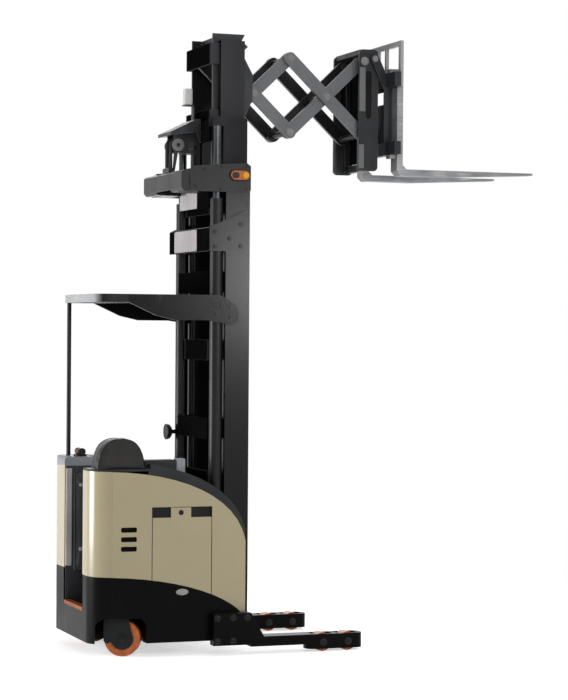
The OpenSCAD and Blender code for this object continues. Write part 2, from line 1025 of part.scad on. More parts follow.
carriage_h = 942;
carriage_low = carriage_top - carriage_h;
nose_x = 80;
nose_drop = 268;
nose_z = carriage_top - nose_drop;
nose_h = 170;
beak_x = 45;
beak_drop = 82;
beak_z = carriage_top - beak_drop;
beak_h = 40;
brow_x = 22;
belly_drop = 590;
belly_z = carriage_top - belly_drop;
plate_front = -20;
guide_rise = 45;
guide_h = 290;
guide_low = carriage_low + guide_rise;
guide_high = guide_low + guide_h;
top_tie_h = 70;
top_tie_front = -25;
top_tie_back = -150;
low_tie_back = -116;
low_tie_front = -72;
low_tie_h = 45;
carriage_roller_drops = [762, 122];

// Reach carriage: two nosed plates with rollers in the inner rails, ties, pins and roller guides
module reach_carriage() {
    inside = carriage_y - plate_t;
    color("#4c4e52") {
        both_sides() {
            across(inside, carriage_y)
                polygon([
                    [carriage_rear, carriage_low],
                    [plate_front, carriage_low],
                    [plate_front, belly_z - nose_h / 2],
                    [nose_x, nose_z - nose_h],
                    [nose_x, nose_z],
                    [0, beak_z - beak_h],
                    [beak_x, beak_z],
                    [0, beak_z + beak_h],
                    [brow_x, carriage_top],
                    [carriage_rear, carriage_top]
                ]);
            for (drop = carriage_roller_drops)
                bar_y(-rail_depth / 2, carriage_top - drop, roller_d, carriage_y,
                    carriage_y + nest_gap + roller_w);
            bar_y(-pivot_back, pivot_z, pin_d, link_out - link_t, inside);
            for (x = [-guide_d / 2 - run_gap - guide_t, guide_d / 2 + run_gap])
                block([x - pivot_back, inside - guide_w - run_gap, guide_low],
                    [x + guide_t - pivot_back, inside, guide_high]);
        }
        block([top_tie_back, -inside, carriage_top - top_tie_h - move_gap],
            [top_tie_front, inside, carriage_top - move_gap]);
        block([low_tie_back, -inside, carriage_low], [low_tie_front, inside, carriage_low + low_tie_h]);
    }
}

bore_d = pin_d + 2 * pin_gap;
loose_d = pin_d + 4 * pin_gap;

// Pair of link plates between two pivots, in the outer or inner plane, with bores at given places
module link_pair(out, x0, z0, x1, z1, bores) {
    both_sides()
        difference() {
            across(out - link_t, out)
                link_outline(x0, z0, x1, z1, link_w);
            for (b = bores)
                bar_y(b[0], b[1], b[2], 0, out + overrun);
        }
}

// Tube or axle right across the scissor
module cross_tube(x, z, half) {
    bar_y(x, z, pin_d, -half, half);
}

// Outer link from the carriage's top pin down to the middle, with the first crossing tube
module link_a() {
    color("#6d6f73") {
        link_pair(link_out, -pivot_back, pivot_z, mid_x, pivot_low,
            [[-pivot_back, pivot_z, bore_d], [mid_x, pivot_low, bore_d]]);
        cross_tube(cross1_x, cross_z, link_out - link_t / 2);
    }
}

// Inner link from the carriage's roller guide up to the middle
module link_b() {
    color("#66686c") {
        link_pair(link_in, -pivot_back, pivot_low, mid_x, pivot_z, [[cross1_x, cross_z, bore_d]]);
        cross_tube(-pivot_back, pivot_low, carriage_y - plate_t - guide_w);
        both_sides()
            bar_y(-pivot_back, pivot_low, guide_d, carriage_y - plate_t - guide_w - run_gap,
                carriage_y - plate_t - run_gap);
        cross_tube(mid_x, pivot_z, link_out);
    }
}

// Inner link from the middle up to the fork frame
module link_c() {
    color("#66686c") {
        link_pair(link_in, mid_x, pivot_low, front_x, pivot_z,
            [[cross2_x, cross_z, bore_d], [front_x, pivot_z, bore_d]]);
        cross_tube(mid_x, pivot_low, link_out);
    }
}

// Outer link from the middle down to the fork frame's roller guide, with the second crossing tube
module link_d() {
    color("#6d6f73") {
        link_pair(link_out, mid_x, pivot_z, front_x, pivot_low, [[mid_x, pivot_z, loose_d]]);
        cross_tube(cross2_x, cross_z, link_out - link_t / 2);
        cross_tube(front_x, pivot_low, link_out + nest_gap);
        both_sides()
            bar_y(front_x, pivot_low, guide_d, link_out + nest_gap, link_out + nest_gap + guide_w);
    }
}

frame_rise = 40;
frame_h = 845;
frame_low = carriage_low + frame_rise;
frame_high = frame_low + frame_h;
frame_r = 30;
frame_tie_h = 33;
frame_tie_inset = 12;
low_rail_depth = 50;
low_rail_h = 50;
frame_x = front_x - frame_tail;
tilt_pin_d = 36;
tilt_inset = 30;
tilt_drop = 65;
tilt_z = frame_high - tilt_drop;
window_w = 46;
window_rise = 360;
window_h = 340;
window_low = frame_low + window_rise;
window_high = window_low + window_h;

// Fork frame at the front of the scissor: two plates with pins, roller guides and ties
module fork_frame() {
    color("#55575b") {
        both_sides() {
            difference() {
                across(frame_in, frame_out)
                    round_rect([frame_x, frame_low], [frame_x + frame_depth, frame_high], frame_r);
                across(0, frame_out + overrun)
                    round_rect([frame_x + frame_depth / 2 - window_w / 2, window_low],
                        [frame_x + frame_depth / 2 + window_w / 2, window_high], window_w / 2 - run_gap);
            }
            bar_y(front_x, pivot_z, pin_d, link_in - link_t, frame_in);
            bar_y(frame_x + frame_depth - tilt_inset, tilt_z, tilt_pin_d, frame_out,
                frame_out + nest_gap + frame_plate_t);
            for (x = [-guide_d / 2 - run_gap - guide_t, guide_d / 2 + run_gap])
                block([front_x + x, link_out + nest_gap, guide_low],
                    [front_x + x + guide_t, frame_in, guide_high]);
        }
        block([frame_x + frame_tie_inset, -frame_in, frame_high - frame_tie_h],
            [frame_x + frame_depth - frame_tie_inset, frame_in, frame_high]);
        block([frame_x + frame_depth - low_rail_depth, -frame_in, frame_low + frame_tie_inset],
            [frame_x + frame_depth, frame_in, frame_low + frame_tie_inset + low_rail_h]);
    }
}

bar_x = shank_x - bar_t;
fork_z = carriage_top - fork_drop;
upper_rise = 613;
upper_h = 100;
lower_rise = 143;
lower_h = 90;
upper_low = fork_z + upper_rise;
upper_high = upper_low + upper_h;
lower_low = fork_z + lower_rise;
lower_high = lower_low + lower_h;
arm_w = 60;
side_plate_w = 56;

// Fork carriage: two arms on the tilt pins and the two bars that the forks hang on
module fork_carriage() {
    arm_in = frame_out + nest_gap;
    color("#3c3d40") {
        both_sides() {
            difference() {
                across(arm_in, arm_in + frame_plate_t) {
                    link_outline(frame_x + frame_depth - tilt_inset, tilt_z, shank_x - arm_w / 2, upper_low,
                        arm_w);
                    translate([shank_x - side_plate_w, lower_low])
                        square([side_plate_w, upper_high - lower_low]);
                }
                bar_y(frame_x + frame_depth - tilt_inset, tilt_z, tilt_pin_d + 2 * pin_gap, 0,
                    arm_in + frame_plate_t + overrun);
            }
        }
        block([bar_x, -carriage_w / 2, upper_low], [shank_x, carriage_w / 2, upper_high]);
        block([bar_x, -carriage_w / 2, lower_low], [shank_x, carriage_w / 2, lower_high]);
    }
}

rest_t = 22;
rest_h = 317;
rest_top = upper_low + rest_h;
rest_side_w = 40;
rest_inset = 14;
rest_top_h = 37;
rest_bar_w = 26;
rest_bars = [-150, 0, 150];

// Load backrest above the upper bar
module load_backrest() {
    half = carriage_w / 2 - rest_inset;
    color("#7d7f83") {
        both_sides()
            block([shank_x, half - rest_side_w, upper_low], [shank_x + rest_t, half, rest_top]);
        block([shank_x, -half, rest_top - rest_top_h], [shank_x + rest_t, half, rest_top]);
        for (y = rest_bars)
            block([shank_x, y - rest_bar_w / 2, upper_low], [shank_x + rest_t, y + rest_bar_w / 2, rest_top]);
    }
}

tip_t = 12;
taper_share = 0.66;
heel_r = 30;
fork_tip_r = 36;
hook_w = 70;
hook_t = 25;

// L-shaped fork with a tapered blade and a hook over either bar
module fork(side) {
    color("#8f9195")
        translate([0, side * fork_gap / 2, 0]) {
            intersection() {
                across(-fork_w / 2, fork_w / 2)
                    polygon([
                        [shank_x, fork_z + heel_r],
                        [shank_x + heel_r, fork_z],
                        [tip_x - fork_len * taper_share, fork_z],
                        [tip_x, fork_z + fork_t - tip_t],
                        [tip_x, fork_z + fork_t],
                        [shank_x + fork_t + heel_r, fork_z + fork_t],
                        [shank_x + fork_t, fork_z + fork_t + heel_r],
                        [shank_x + fork_t, upper_high],
                        [shank_x, upper_high]
                    ]);
                linear_extrude(upper_high)
                    round_rect([shank_x - fork_len, -fork_w / 2], [tip_x, fork_w / 2], fork_tip_r);
            }
            block([bar_x, -hook_w / 2, upper_high], [shank_x + fork_t, hook_w / 2, upper_high + hook_t]);
            block([bar_x, -hook_w / 2, lower_low - hook_t], [shank_x, hook_w / 2, lower_low]);
        }
}

module right_fork() { fork(-1); }
module left_fork() { fork(1); }

// Puts the origin under the middle of the truck's length
module placed() {
    translate([-origin_x, 0, 0])
        children();
}

placed() base_frame();
placed() right_cover();
placed() left_cover();
placed() right_gate();
placed() left_gate();
placed() hood();
placed() compartment_lining();
placed() right_deck();
placed() console_cap();
placed() backrest_pad();
placed() entry_pad();
placed() entry_bar();
placed() control_handle();
placed() battery();
placed() overhead_guard();
placed() guard_rim();
placed() guard_post();
placed() outer_mast();
placed() mast_hood();
placed() lift_barrels();
placed() right_leg();
placed() left_leg();
placed() amber_reflector();
placed() drive_unit();
placed() drive_wheel();
placed() caster_yoke();
placed() caster_wheel();
placed() load_wheel_rf();
placed() load_wheel_rr();
placed() load_wheel_lf();
placed() load_wheel_lr();
placed() middle_mast();
placed() middle_ties();
placed() lift_rods();
placed() sheave_bracket();
placed() inner_mast();
placed() reach_carriage();
placed() link_a();
placed() link_b();
placed() link_c();
placed() link_d();
placed() fork_frame();
placed() fork_carriage();
placed() load_backrest();
placed() right_fork();
placed() left_fork();
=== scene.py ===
# %% [markdown]
# # Dressing a narrow aisle reach truck
# The CAD model is a fixed frame: every steel piece already has its size, its place and its joints. This
# lesson gives each of those pieces the finish it has on a working truck, and adds what CAD leaves plain,
# such as bolt heads, hoses, pads, latches and labels. Each new piece rides on one of the frame's bodies and
# moves with it.

import json
import math

import bmesh
import bpy
from mathutils import Matrix, Vector


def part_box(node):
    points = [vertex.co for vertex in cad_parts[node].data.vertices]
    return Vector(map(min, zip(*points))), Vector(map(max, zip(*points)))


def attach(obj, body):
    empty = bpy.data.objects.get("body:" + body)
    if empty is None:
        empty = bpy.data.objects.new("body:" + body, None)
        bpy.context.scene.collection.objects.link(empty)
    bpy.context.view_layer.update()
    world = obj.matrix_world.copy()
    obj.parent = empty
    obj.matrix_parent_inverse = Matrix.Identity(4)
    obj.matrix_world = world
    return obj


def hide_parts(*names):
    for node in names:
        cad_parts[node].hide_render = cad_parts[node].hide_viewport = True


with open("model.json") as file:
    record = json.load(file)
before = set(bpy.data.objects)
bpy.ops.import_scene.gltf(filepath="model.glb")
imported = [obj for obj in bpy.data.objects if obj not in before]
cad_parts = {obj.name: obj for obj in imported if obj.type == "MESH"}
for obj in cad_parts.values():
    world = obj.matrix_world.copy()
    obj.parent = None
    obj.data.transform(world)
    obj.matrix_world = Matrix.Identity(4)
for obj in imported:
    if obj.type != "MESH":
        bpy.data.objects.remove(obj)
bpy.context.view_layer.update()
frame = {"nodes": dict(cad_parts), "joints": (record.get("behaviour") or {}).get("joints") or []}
nodes = frame["nodes"]
joints = {joint["name"]: joint for joint in frame["joints"]}

# %% [markdown]
# ## One ruler for the whole truck
# The truck was laid out in millimetres from the front face of its outer mast rails, so the lesson keeps
# that ruler. `at` turns such a point into the frame's metres. The mast's own box says where that face is,
# so the ruler follows the model instead of repeating a number.

# %% Ruler
MM = 0.001
MAST_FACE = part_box("outer_mast")[1].x
LOW, HIGH = 0, 1
X, Y, Z = 0, 1, 2


def at(x, y, z):
    return Vector((MAST_FACE + x * MM, y * MM, z * MM))


def edge(node, axis, side):
    """One side, LOW or HIGH, of a CAD node's box, in millimetres on the truck's ruler."""
    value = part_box(node)[side][axis]
    return (value - (MAST_FACE if axis == X else 0)) / MM


print("mast face at X", round(MAST_FACE, 4), "m; covers end at", round(edge("right_cover", X, LOW)), "mm")

# %% [markdown]
# ## Finishes from nodes
# Paint, plastic, rubber and steel all start from the same small set of nodes: noise in Object coordinates,
# a colour ramp, and bump. Object coordinates are metres on the truck, so a grain of two millimetres stays
# two millimetres on every piece. Colours are written as they look on a screen, and `tone` gives the linear
# values that a shader needs. Every finish is kept under its name, and the pieces ask for it by that name.

# %% Node helpers
finishes = {}


def tone(red, green, blue):
    def linear(value):
        share = value / 255
        return share / 12.92 if share <= 0.04045 else ((share + 0.055) / 1.055) ** 2.4

    return (linear(red), linear(green), linear(blue), 1.0)


def feed(node, inputs):
    """Sets a node's inputs: a socket is linked, anything else is set as it is."""
    for name, value in inputs.items():
        if isinstance(value, bpy.types.NodeSocket):
            node.id_data.links.new(value, node.inputs[name])
        else:
            node.inputs[name].default_value = value


def add(tree, kind, inputs=None, **settings):
    node = tree.nodes.new(kind)
    for name, value in settings.items():
        setattr(node, name, value)
    feed(node, inputs or {})
    return node


def out(kind, inputs, **settings):
    """The first output of a new node, which joins the tree of the sockets that feed it."""
    tree = next(value.id_data for value in inputs.values() if isinstance(value, bpy.types.NodeSocket))
    return add(tree, kind, inputs, **settings).outputs[0]


def new_finish(name):
    material = finishes[name] = bpy.data.materials.new(name)
    material.use_nodes = True
    place = add(material.node_tree, "ShaderNodeTexCoord").outputs["Object"]
    return material.node_tree.nodes["Principled BSDF"], place


def noise(place, scale, detail=3.0, stretch=(1, 1, 1)):
    """Noise at so many waves a metre, drawn out along an axis where stretch is below one."""
    drawn = out("ShaderNodeMapping", {"Vector": place, "Scale": stretch})
    return out("ShaderNodeTexNoise", {"Vector": drawn, "Scale": scale, "Detail": detail})


def ramp(share, *stops):
    """Screen colours at places from 0 to 1, given as (place, colour), and their blends between."""
    node = add(share.id_data, "ShaderNodeValToRGB", {"Fac": share})
    while len(node.color_ramp.elements) < len(stops):
        node.color_ramp.elements.new(0.5)
    for element, (position, colour) in zip(node.color_ramp.elements, stops):
        element.position = position
        element.color = tone(*colour)
    return node.outputs[0]


def spread(share, low, high):
    return out("ShaderNodeMapRange", {"Value": share, "To Min": low, "To Max": high})


def band(value, start, end):
    """Zero before start, one after end, and an even rise between."""
    return out("ShaderNodeMapRange", {"Value": value, "From Min": start, "From Max": end})


def mix(share, first, second):
    return add(share.id_data, "ShaderNodeMix", {0: share, 6: first, 7: second}, data_type="RGBA").outputs[2]


def calc(operation, first, second=0.0):
    return out("ShaderNodeMath", {0: first, 1: second}, operation=operation)


def clamped(value):
    return out("ShaderNodeClamp", {"Value": value})


def vector_calc(operation, first, second=(0, 0, 0), output=0):
    node = add(first.id_data, "ShaderNodeVectorMath", {0: first, 1: second}, operation=operation)
    return node.outputs[output]


def component(vector, axis):
    return add(vector.id_data, "ShaderNodeSeparateXYZ", {0: vector}).outputs[axis]


def surface_normal(place):
    return add(place.id_data, "ShaderNodeNewGeometry").outputs["Normal"]


def relief(shader, height, depth):
    """Bump of so many metres from a height between 0 and 1."""
    feed(shader, {"Normal": out("ShaderNodeBump", {"Height": height, "Distance": depth, "Strength": 1.0})})


def rubbed_edges(place, amount, width=0.003):
    """A mask that is high on the edges of a solid, broken up so that the wear isn't even."""
    soft = add(place.id_data, "ShaderNodeBevel", {"Radius": width}, samples=4).outputs[0]
    same = vector_calc("DOT_PRODUCT", soft, surface_normal(place), "Value")
    bent = calc("MULTIPLY", calc("SUBTRACT", 1.0, same), 14.0)
    patchy = spread(noise(place, 23, 4), amount - 0.35, amount + 0.35)
    return clamped(calc("MULTIPLY", bent, patchy))


def painted_inner_shade(place, middle):
    """The mask of painted shade: one on faces that look at the truck's middle and on what lies within so many
    metres of it.
    """
    aside = component(place, "Y")
    outward = calc("MULTIPLY", component(surface_normal(place), "Y"), calc("SIGN", aside))
    between = calc("LESS_THAN", calc("ABSOLUTE", aside), middle)
    return calc("MAXIMUM", band(outward, -0.3, -0.7), between)


print("node helpers ready")

# %% [markdown]
# ## Enamel and powder coat
# The truck's sheet metal is sprayed cream enamel under a clear lacquer, and its frame is black powder coat.
# Both have a slight mottle over half a metre, a fine orange-peel texture and edges rubbed through to a
# lighter primer. The links and the carriage are painted grey outside; on their inner faces and near the
# truck's middle they get a nearly black colour, which is painted shade. One function makes them all,
# because they differ only in colour, gloss, texture and wear. White walls mirror strongly in a black face
# seen at a slant, so the blacks keep a low shine.

# %% Painted finishes
# How far from the truck's middle the painted shade of the inner faces reaches, in metres
INNER_SHADE_REACH = 0.165


def paint(name, shaded, lit, gloss, peel, wear, primer, shine=0.14, streak=1.0, lacquer=0.0, inside=None,
          grain=1.0):
    """Sprayed paint: peel is (waves a metre, depth in metres), inside the colour of painted shade on inner
    faces.
    """
    shader, place = new_finish(name)
    drawn = (1, 1, streak)
    base = ramp(noise(place, 2.6, 5, drawn), (0.32, shaded), (0.68, lit))
    speck = spread(noise(place, 190, 2), 1 - 0.06 * grain, 1 + 0.06 * grain)
    base = vector_calc("MULTIPLY", base, speck)
    # Painted shade: inner faces and parts near the middle take the inside colour
    if inside:
        base = mix(painted_inner_shade(place, INNER_SHADE_REACH), base, tone(*inside))
    cloud = noise(place, 7, 4, drawn)
    feed(shader, {
        "Base Color": mix(rubbed_edges(place, wear), base, tone(*primer)),
        "Roughness": spread(cloud, gloss - 0.06 * grain, gloss + 0.08 * grain),
        "Specular IOR Level": shine, "Coat Weight": lacquer, "Coat Roughness": 0.16})
    relief(shader, noise(place, peel[0], 2), peel[1])


# Name, shaded and lit colour, gloss, orange peel, wear, primer
paint("cream_enamel", (164, 152, 120), (168, 156, 124), 0.26, (420, 0.00008), 0.03, (206, 196, 168),
      shine=0.3, lacquer=0.6, grain=0.25)
paint("skirt_coat", (6, 6, 7), (10, 10, 11), 0.32, (520, 0.0002), 0.2, (40, 40, 41), shine=0.05)
paint("mast_coat", (12, 12, 13), (22, 22, 23), 0.34, (380, 0.0002), 0.22, (66, 66, 67), shine=0.2,
      streak=0.16)
paint("guard_coat", (9, 9, 10), (16, 16, 17), 0.22, (460, 0.0001), 0.2, (66, 66, 67), shine=0.12)
paint("tie_coat", (10, 10, 11), (17, 17, 18), 0.6, (380, 0.0002), 0.2, (50, 50, 51), shine=0.0)
paint("dark_bolt", (14, 14, 15), (24, 24, 25), 0.26, (400, 0.0001), 0.25, (56, 56, 57), shine=0.16)
# The inside colours of the links and the carriage are painted shade on their inner faces
paint("link_coat", (98, 99, 101), (116, 117, 119), 0.38, (400, 0.0002), 0.26, (146, 146, 146),
      inside=(26, 26, 27))
paint("carriage_coat", (46, 47, 49), (66, 67, 69), 0.4, (400, 0.0002), 0.26, (126, 126, 126),
      inside=(9, 9, 10))
paint("backrest_coat", (150, 151, 153), (170, 171, 173), 0.38, (400, 0.0002), 0.26, (190, 190, 190))
paint("frame_coat", (34, 35, 37), (52, 53, 55), 0.4, (400, 0.0002), 0.26, (120, 120, 120))
paint("gear_coat", (20, 21, 22), (34, 35, 36), 0.5, (300, 0.0005), 0.2, (84, 84, 85))
paint("battery_coat", (50, 58, 61), (70, 79, 83), 0.55, (300, 0.0004), 0.3, (120, 121, 123))


def end_trim(name, shaded, lit, rear_highlight):
    """Black coat with a painted highlight on its end face, the one that looks to the rear, broken up by
    noise.
    """
    shader, place = new_finish(name)
    # Painted highlight on the face that looks to the rear
    rear = band(component(surface_normal(place), "X"), -0.5, -0.95)
    painted_highlight = calc("MULTIPLY", rear, spread(noise(place, 14, 4), 0.7, 1.1))
    base = ramp(noise(place, 5, 4), (0.35, shaded), (0.65, lit))
    feed(shader, {"Base Color": mix(painted_highlight, base, tone(*rear_highlight)), "Roughness": 0.42,
                        "Specular IOR Level": 0.14})
    relief(shader, noise(place, 420, 2), 0.0002)


# The pale third colour is the painted highlight on the rim's rear face
end_trim("rim_coat", (20, 20, 21), (34, 34, 35), (168, 169, 170))
print("painted finishes:", sorted(finishes))

# %% [markdown]
# ## Rolled steel with roller tracks
# The mast stages are rolled channels. Their outsides keep the paint, but the rollers polish a bright track
# along the inner faces of the flanges, which look forward and back. The surface's own normal finds those
# faces, and long vertical noise breaks the polish into streaks. Elsewhere, what looks forward and back, such
# as a tie, and what looks at the truck's middle gets a blacker colour, which is painted shade.

# %% Mast rails


def rolled_rail(name, shaded, lit, ends, track, flange, gloss, shine):
    """Painted channel with a polished track: flange is its range of distances from the middle, in mm."""
    shader, place = new_finish(name)
    side = ramp(noise(place, 2.4, 5, (1, 1, 0.12)), (0.34, shaded), (0.66, lit))
    along = calc("ABSOLUTE", component(surface_normal(place), "X"))
    # Painted shade: faces that look forward and back, and faces that look at the middle, take the ends colour
    dark = calc("MAXIMUM", calc("POWER", along, 4.0), painted_inner_shade(place, 0.0))
    aside = calc("ABSOLUTE", component(place, "Y"))
    on_flange = calc("MULTIPLY", calc("GREATER_THAN", aside, flange[0] * MM),
                     calc("LESS_THAN", aside, flange[1] * MM))
    on_track = calc("MULTIPLY", calc("POWER", along, 8.0), on_flange)
    streaks = spread(noise(place, 60, 4, (1, 1, 0.02)), -0.5, 1.3)
    polish = clamped(calc("MULTIPLY", on_track, streaks))
    coat = mix(calc("MULTIPLY", polish, 0.45), mix(dark, side, tone(*ends)), tone(*track))
    feed(shader, {
        "Base Color": mix(rubbed_edges(place, 0.25), coat, tone(*track)),
        "Roughness": spread(polish, gloss, 0.3), "Specular IOR Level": shine})
    relief(shader, noise(place, 340, 2), 0.0001)


# Name, shaded and lit colour, ends (painted shade), track, flange, gloss, shine
rolled_rail("outer_rail", (15, 15, 16), (26, 26, 27), (14, 14, 15), (58, 59, 61), (372, 412), 0.23, 0.18)
rolled_rail("middle_rail", (40, 40, 42), (56, 56, 58), (11, 11, 12), (64, 65, 67), (307, 347), 0.42, 0.01)
rolled_rail("inner_rail", (54, 54, 56), (70, 70, 72), (11, 11, 12), (76, 77, 79), (242, 282), 0.45, 0.0)
print("rail finishes:", [name for name in finishes if name.endswith("rail")])

# %% [markdown]
# ## Forks, rods and pins
# Fork blades are forged steel. Pallets scour their tops along the blade, so the scratches are noise drawn
# out along X. Lift rods are hard chrome with a faint machining ring. Small plates and fittings are zinc
# plated, a little yellow and dull, and the ends of the pins are plain grey steel.

# %% Bare metal


def scoured_steel(name, shaded, lit, bright, drawn, gloss, metal):
    shader, place = new_finish(name)
    scratches = noise(place, 240, 5, drawn)
    stain = noise(place, 5, 5)
    share = calc("ADD", calc("MULTIPLY", scratches, 0.55), calc("MULTIPLY", stain, 0.45))
    feed(shader, {
        "Base Color": ramp(share, (0.36, shaded), (0.52, lit), (0.66, bright)),
        "Roughness": spread(stain, gloss - 0.1, gloss + 0.12), "Metallic": metal})
    relief(shader, scratches, 0.00012)


# Name, three colours from shaded to bright, stretch of the scratches, gloss, share of bare metal
scoured_steel("fork_steel", (96, 97, 99), (128, 129, 131), (164, 165, 166), (0.03, 1, 1), 0.42, 0.35)
scoured_steel("rod_chrome", (48, 50, 52), (64, 66, 68), (82, 84, 86), (0.2, 0.2, 2), 0.22, 1.0)
scoured_steel("zinc_plate", (98, 96, 90), (126, 124, 118), (152, 150, 144), (1, 1, 1), 0.38, 0.8)
scoured_steel("pin_steel", (92, 92, 91), (112, 112, 111), (134, 134, 133), (1, 1, 1), 0.55, 0.0)
print("bare metals: forks, rods, plates and pins")

# %% [markdown]
# ## Moulded plastic, vinyl and rubber
# Hood, lining and console are moulded with a leathery grain: Voronoi cells a few millimetres wide, seen
# mostly in how they break up reflections. Vinyl for the pads has the same cells, smaller and softer. Hoses
# are plain black rubber with a little dust.

# %% Moulded finishes


def grained(name, shaded, lit, gloss, cell, depth, sheen=0.0):
    """Moulded material with a cell grain: cell is its width and depth its relief, in millimetres."""
    shader, place = new_finish(name)
    base = ramp(noise(place, 4, 5), (0.34, shaded), (0.66, lit))
    scale = 1 / (cell * MM)
    cells = out("ShaderNodeTexVoronoi", {"Vector": place, "Scale": scale}, feature="DISTANCE_TO_EDGE")
    dust = spread(noise(place, 60, 4), 0.9, 1.12)
    feed(shader, {
        "Base Color": vector_calc("MULTIPLY", base, dust),
        "Roughness": spread(noise(place, 11, 3), gloss - 0.07, gloss + 0.07),
        "Sheen Weight": sheen, "Specular IOR Level": 0.16})
    relief(shader, spread(cells, 0.0, 3.0), depth * MM)


# Name, shaded and lit colour, gloss, cell, depth, sheen
grained("hood_plastic", (34, 35, 37), (48, 49, 51), 0.46, 2.4, 0.2)
grained("lining_plastic", (56, 57, 60), (74, 75, 78), 0.52, 2.6, 0.2)
grained("deck_plastic", (32, 32, 34), (46, 46, 48), 0.48, 2.4, 0.2)
grained("console_plastic", (138, 139, 143), (158, 159, 163), 0.46, 2.2, 0.15)
grained("trim_plastic", (186, 186, 184), (206, 206, 204), 0.42, 2.0, 0.12)
grained("control_plastic", (20, 20, 22), (34, 34, 36), 0.36, 1.8, 0.12)
grained("pad_vinyl", (30, 30, 29), (46, 45, 43), 0.55, 1.6, 0.12, 0.15)
grained("entry_vinyl", (64, 65, 67), (82, 83, 85), 0.55, 1.6, 0.12, 0.15)
grained("hose_rubber", (24, 24, 25), (40, 40, 41), 0.5, 0.8, 0.05)
grained("mat_rubber", (18, 18, 19), (30, 30, 31), 0.62, 1.2, 0.1)
grained("orange_plastic", (124, 66, 32), (150, 84, 44), 0.5, 2.0, 0.1)
grained("blue_plastic", (36, 92, 140), (52, 112, 160), 0.4, 2.0, 0.1)
grained("label_vinyl", (168, 163, 165), (182, 178, 179), 0.5, 4.0, 0.04)
grained("thread", (86, 86, 84), (104, 104, 101), 0.7, 0.4, 0.04, 0.3)
print("finishes so far:", len(finishes))

# %% [markdown]
# ## Polyurethane wheels
# The wheels are one solid each in CAD: a cast hub with an orange polyurethane tyre pressed on. The joint
# that spins a wheel knows its axle, so the finish measures how far a point is from that line and changes at
# the tyre's inner edge. The tread is mottled with dirt, and the hub keeps its rough casting.

# %% Wheels
ORANGE = ((112, 54, 20), (182, 92, 32), (212, 120, 52))
HUB = ((44, 45, 47), (66, 67, 70))


def axle_wheel(name, joint, radius, tyre_from):
    """Orange from tyre_from, a share of the radius in metres, to the tread, and cast metal inside it."""
    shader, place = new_finish(name)
    arm = vector_calc("SUBTRACT", place, joints[joint]["pos_m"])
    across = vector_calc("CROSS_PRODUCT", arm, joints[joint]["axis"])
    share = calc("DIVIDE", vector_calc("LENGTH", across, output="Value"), radius)
    dirt = calc("ADD", calc("MULTIPLY", noise(place, 36, 5), 0.5), 0.25)
    rubber = ramp(dirt, *zip((0.34, 0.5, 0.68), ORANGE))
    cast = ramp(noise(place, 90, 4), *zip((0.35, 0.65), HUB))
    tyre = band(share, tyre_from - 0.012, tyre_from + 0.012)
    feed(shader, {"Base Color": mix(tyre, cast, rubber), "Roughness": spread(tyre, 0.52, 0.42)})
    relief(shader, noise(place, 260, 3), 0.0003)


axle_wheel("drive_tyre", "drive_spin", 0.150, 0.64)
axle_wheel("caster_tyre", "caster_spin", 0.120, 0.64)
for corner in ("rf", "rr", "lf", "lr"):
    axle_wheel("load_tyre_" + corner, "load_spin_" + corner, 0.0635, 0.6)
print("wheel finishes:", [name for name in finishes if "tyre" in name])

# %% [markdown]
# ## Amber reflector
# A moulded reflector is clear amber in front and prismatic behind. Hexagon-like Voronoi cells a few
# millimetres wide stand for the prisms: bright in the middle, darker towards their edges, with a little
# relief.

# %% Reflector


def prism_lens(name, colours, cell):
    shader, place = new_finish(name)
    prisms = out("ShaderNodeTexVoronoi", {"Vector": place, "Scale": 1 / cell, "Randomness": 0.15})
    share = calc("MULTIPLY", prisms, 1.6)
    feed(shader, {"Base Color": ramp(share, *zip((0.1, 0.5, 0.95), colours)), "Roughness": 0.4,
                        "Specular IOR Level": 0.25})
    relief(shader, share, 0.0006)


prism_lens("amber_lens", ((236, 150, 46), (212, 118, 34), (150, 76, 24)), 0.006)
prism_lens("yellow_lens", ((255, 214, 92), (246, 190, 56), (206, 142, 36)), 0.005)
print("lenses: amber and yellow")

# %% [markdown]
# ## Finishes on the CAD pieces
# A CAD node keeps its mesh and only changes its material. One table gives every node its finish, so nothing
# is left with the flat colour that came with the file.

# %% Hand out the finishes
finish_of = {
    "cream_enamel": ["right_cover", "left_cover", "right_gate", "left_gate"],
    "skirt_coat": ["base_frame", "right_leg", "left_leg"],
    "hood_plastic": ["hood"],
    "lining_plastic": ["compartment_lining"],
    "deck_plastic": ["right_deck"],
    "console_plastic": ["console_cap"],
    "pad_vinyl": ["backrest_pad"],
    "entry_vinyl": ["entry_pad"],
    "orange_plastic": ["entry_bar"],
    "control_plastic": ["control_handle"],
    "battery_coat": ["battery"],
    "guard_coat": ["overhead_guard"],
    "mast_coat": ["mast_hood", "lift_barrels", "guard_post"],
    "rim_coat": ["guard_rim"],
    "outer_rail": ["outer_mast"],
    "amber_lens": ["amber_reflector"],
    "gear_coat": ["drive_unit", "caster_yoke"],
    "middle_rail": ["middle_mast"],
    "tie_coat": ["middle_ties"],
    "rod_chrome": ["lift_rods"],
    "frame_coat": ["sheave_bracket", "fork_frame", "fork_carriage"],
    "inner_rail": ["inner_mast"],
    "carriage_coat": ["reach_carriage"],
    "link_coat": ["link_a", "link_b", "link_c", "link_d"],
    "backrest_coat": ["load_backrest"],
    "fork_steel": ["right_fork", "left_fork"],
}
finish_by_node = {node: finish for finish, names in finish_of.items() for node in names}
for node in nodes:
    if "wheel" in node:
        finish_by_node[node] = node.replace("wheel", "tyre")
for node, solid in nodes.items():
    solid.data.materials.clear()
    solid.data.materials.append(finishes[finish_by_node[node]])
print("finished CAD nodes:", len(finish_by_node), "of", len(nodes))

# %% [markdown]
# ## A tree for heads: bolts, pin caps and rivets
# A truck carries dozens of bolt heads, and they differ only in size and place. A Geometry Nodes tree puts
# one head on each point of a small mesh and turns it along the direction stored with that point. With six
# sides the head is a hex bolt, with many it is a pin cap. The tree ends in Realize Instances and Set
# Material, so that plain faces remain.

# %% Tree builder


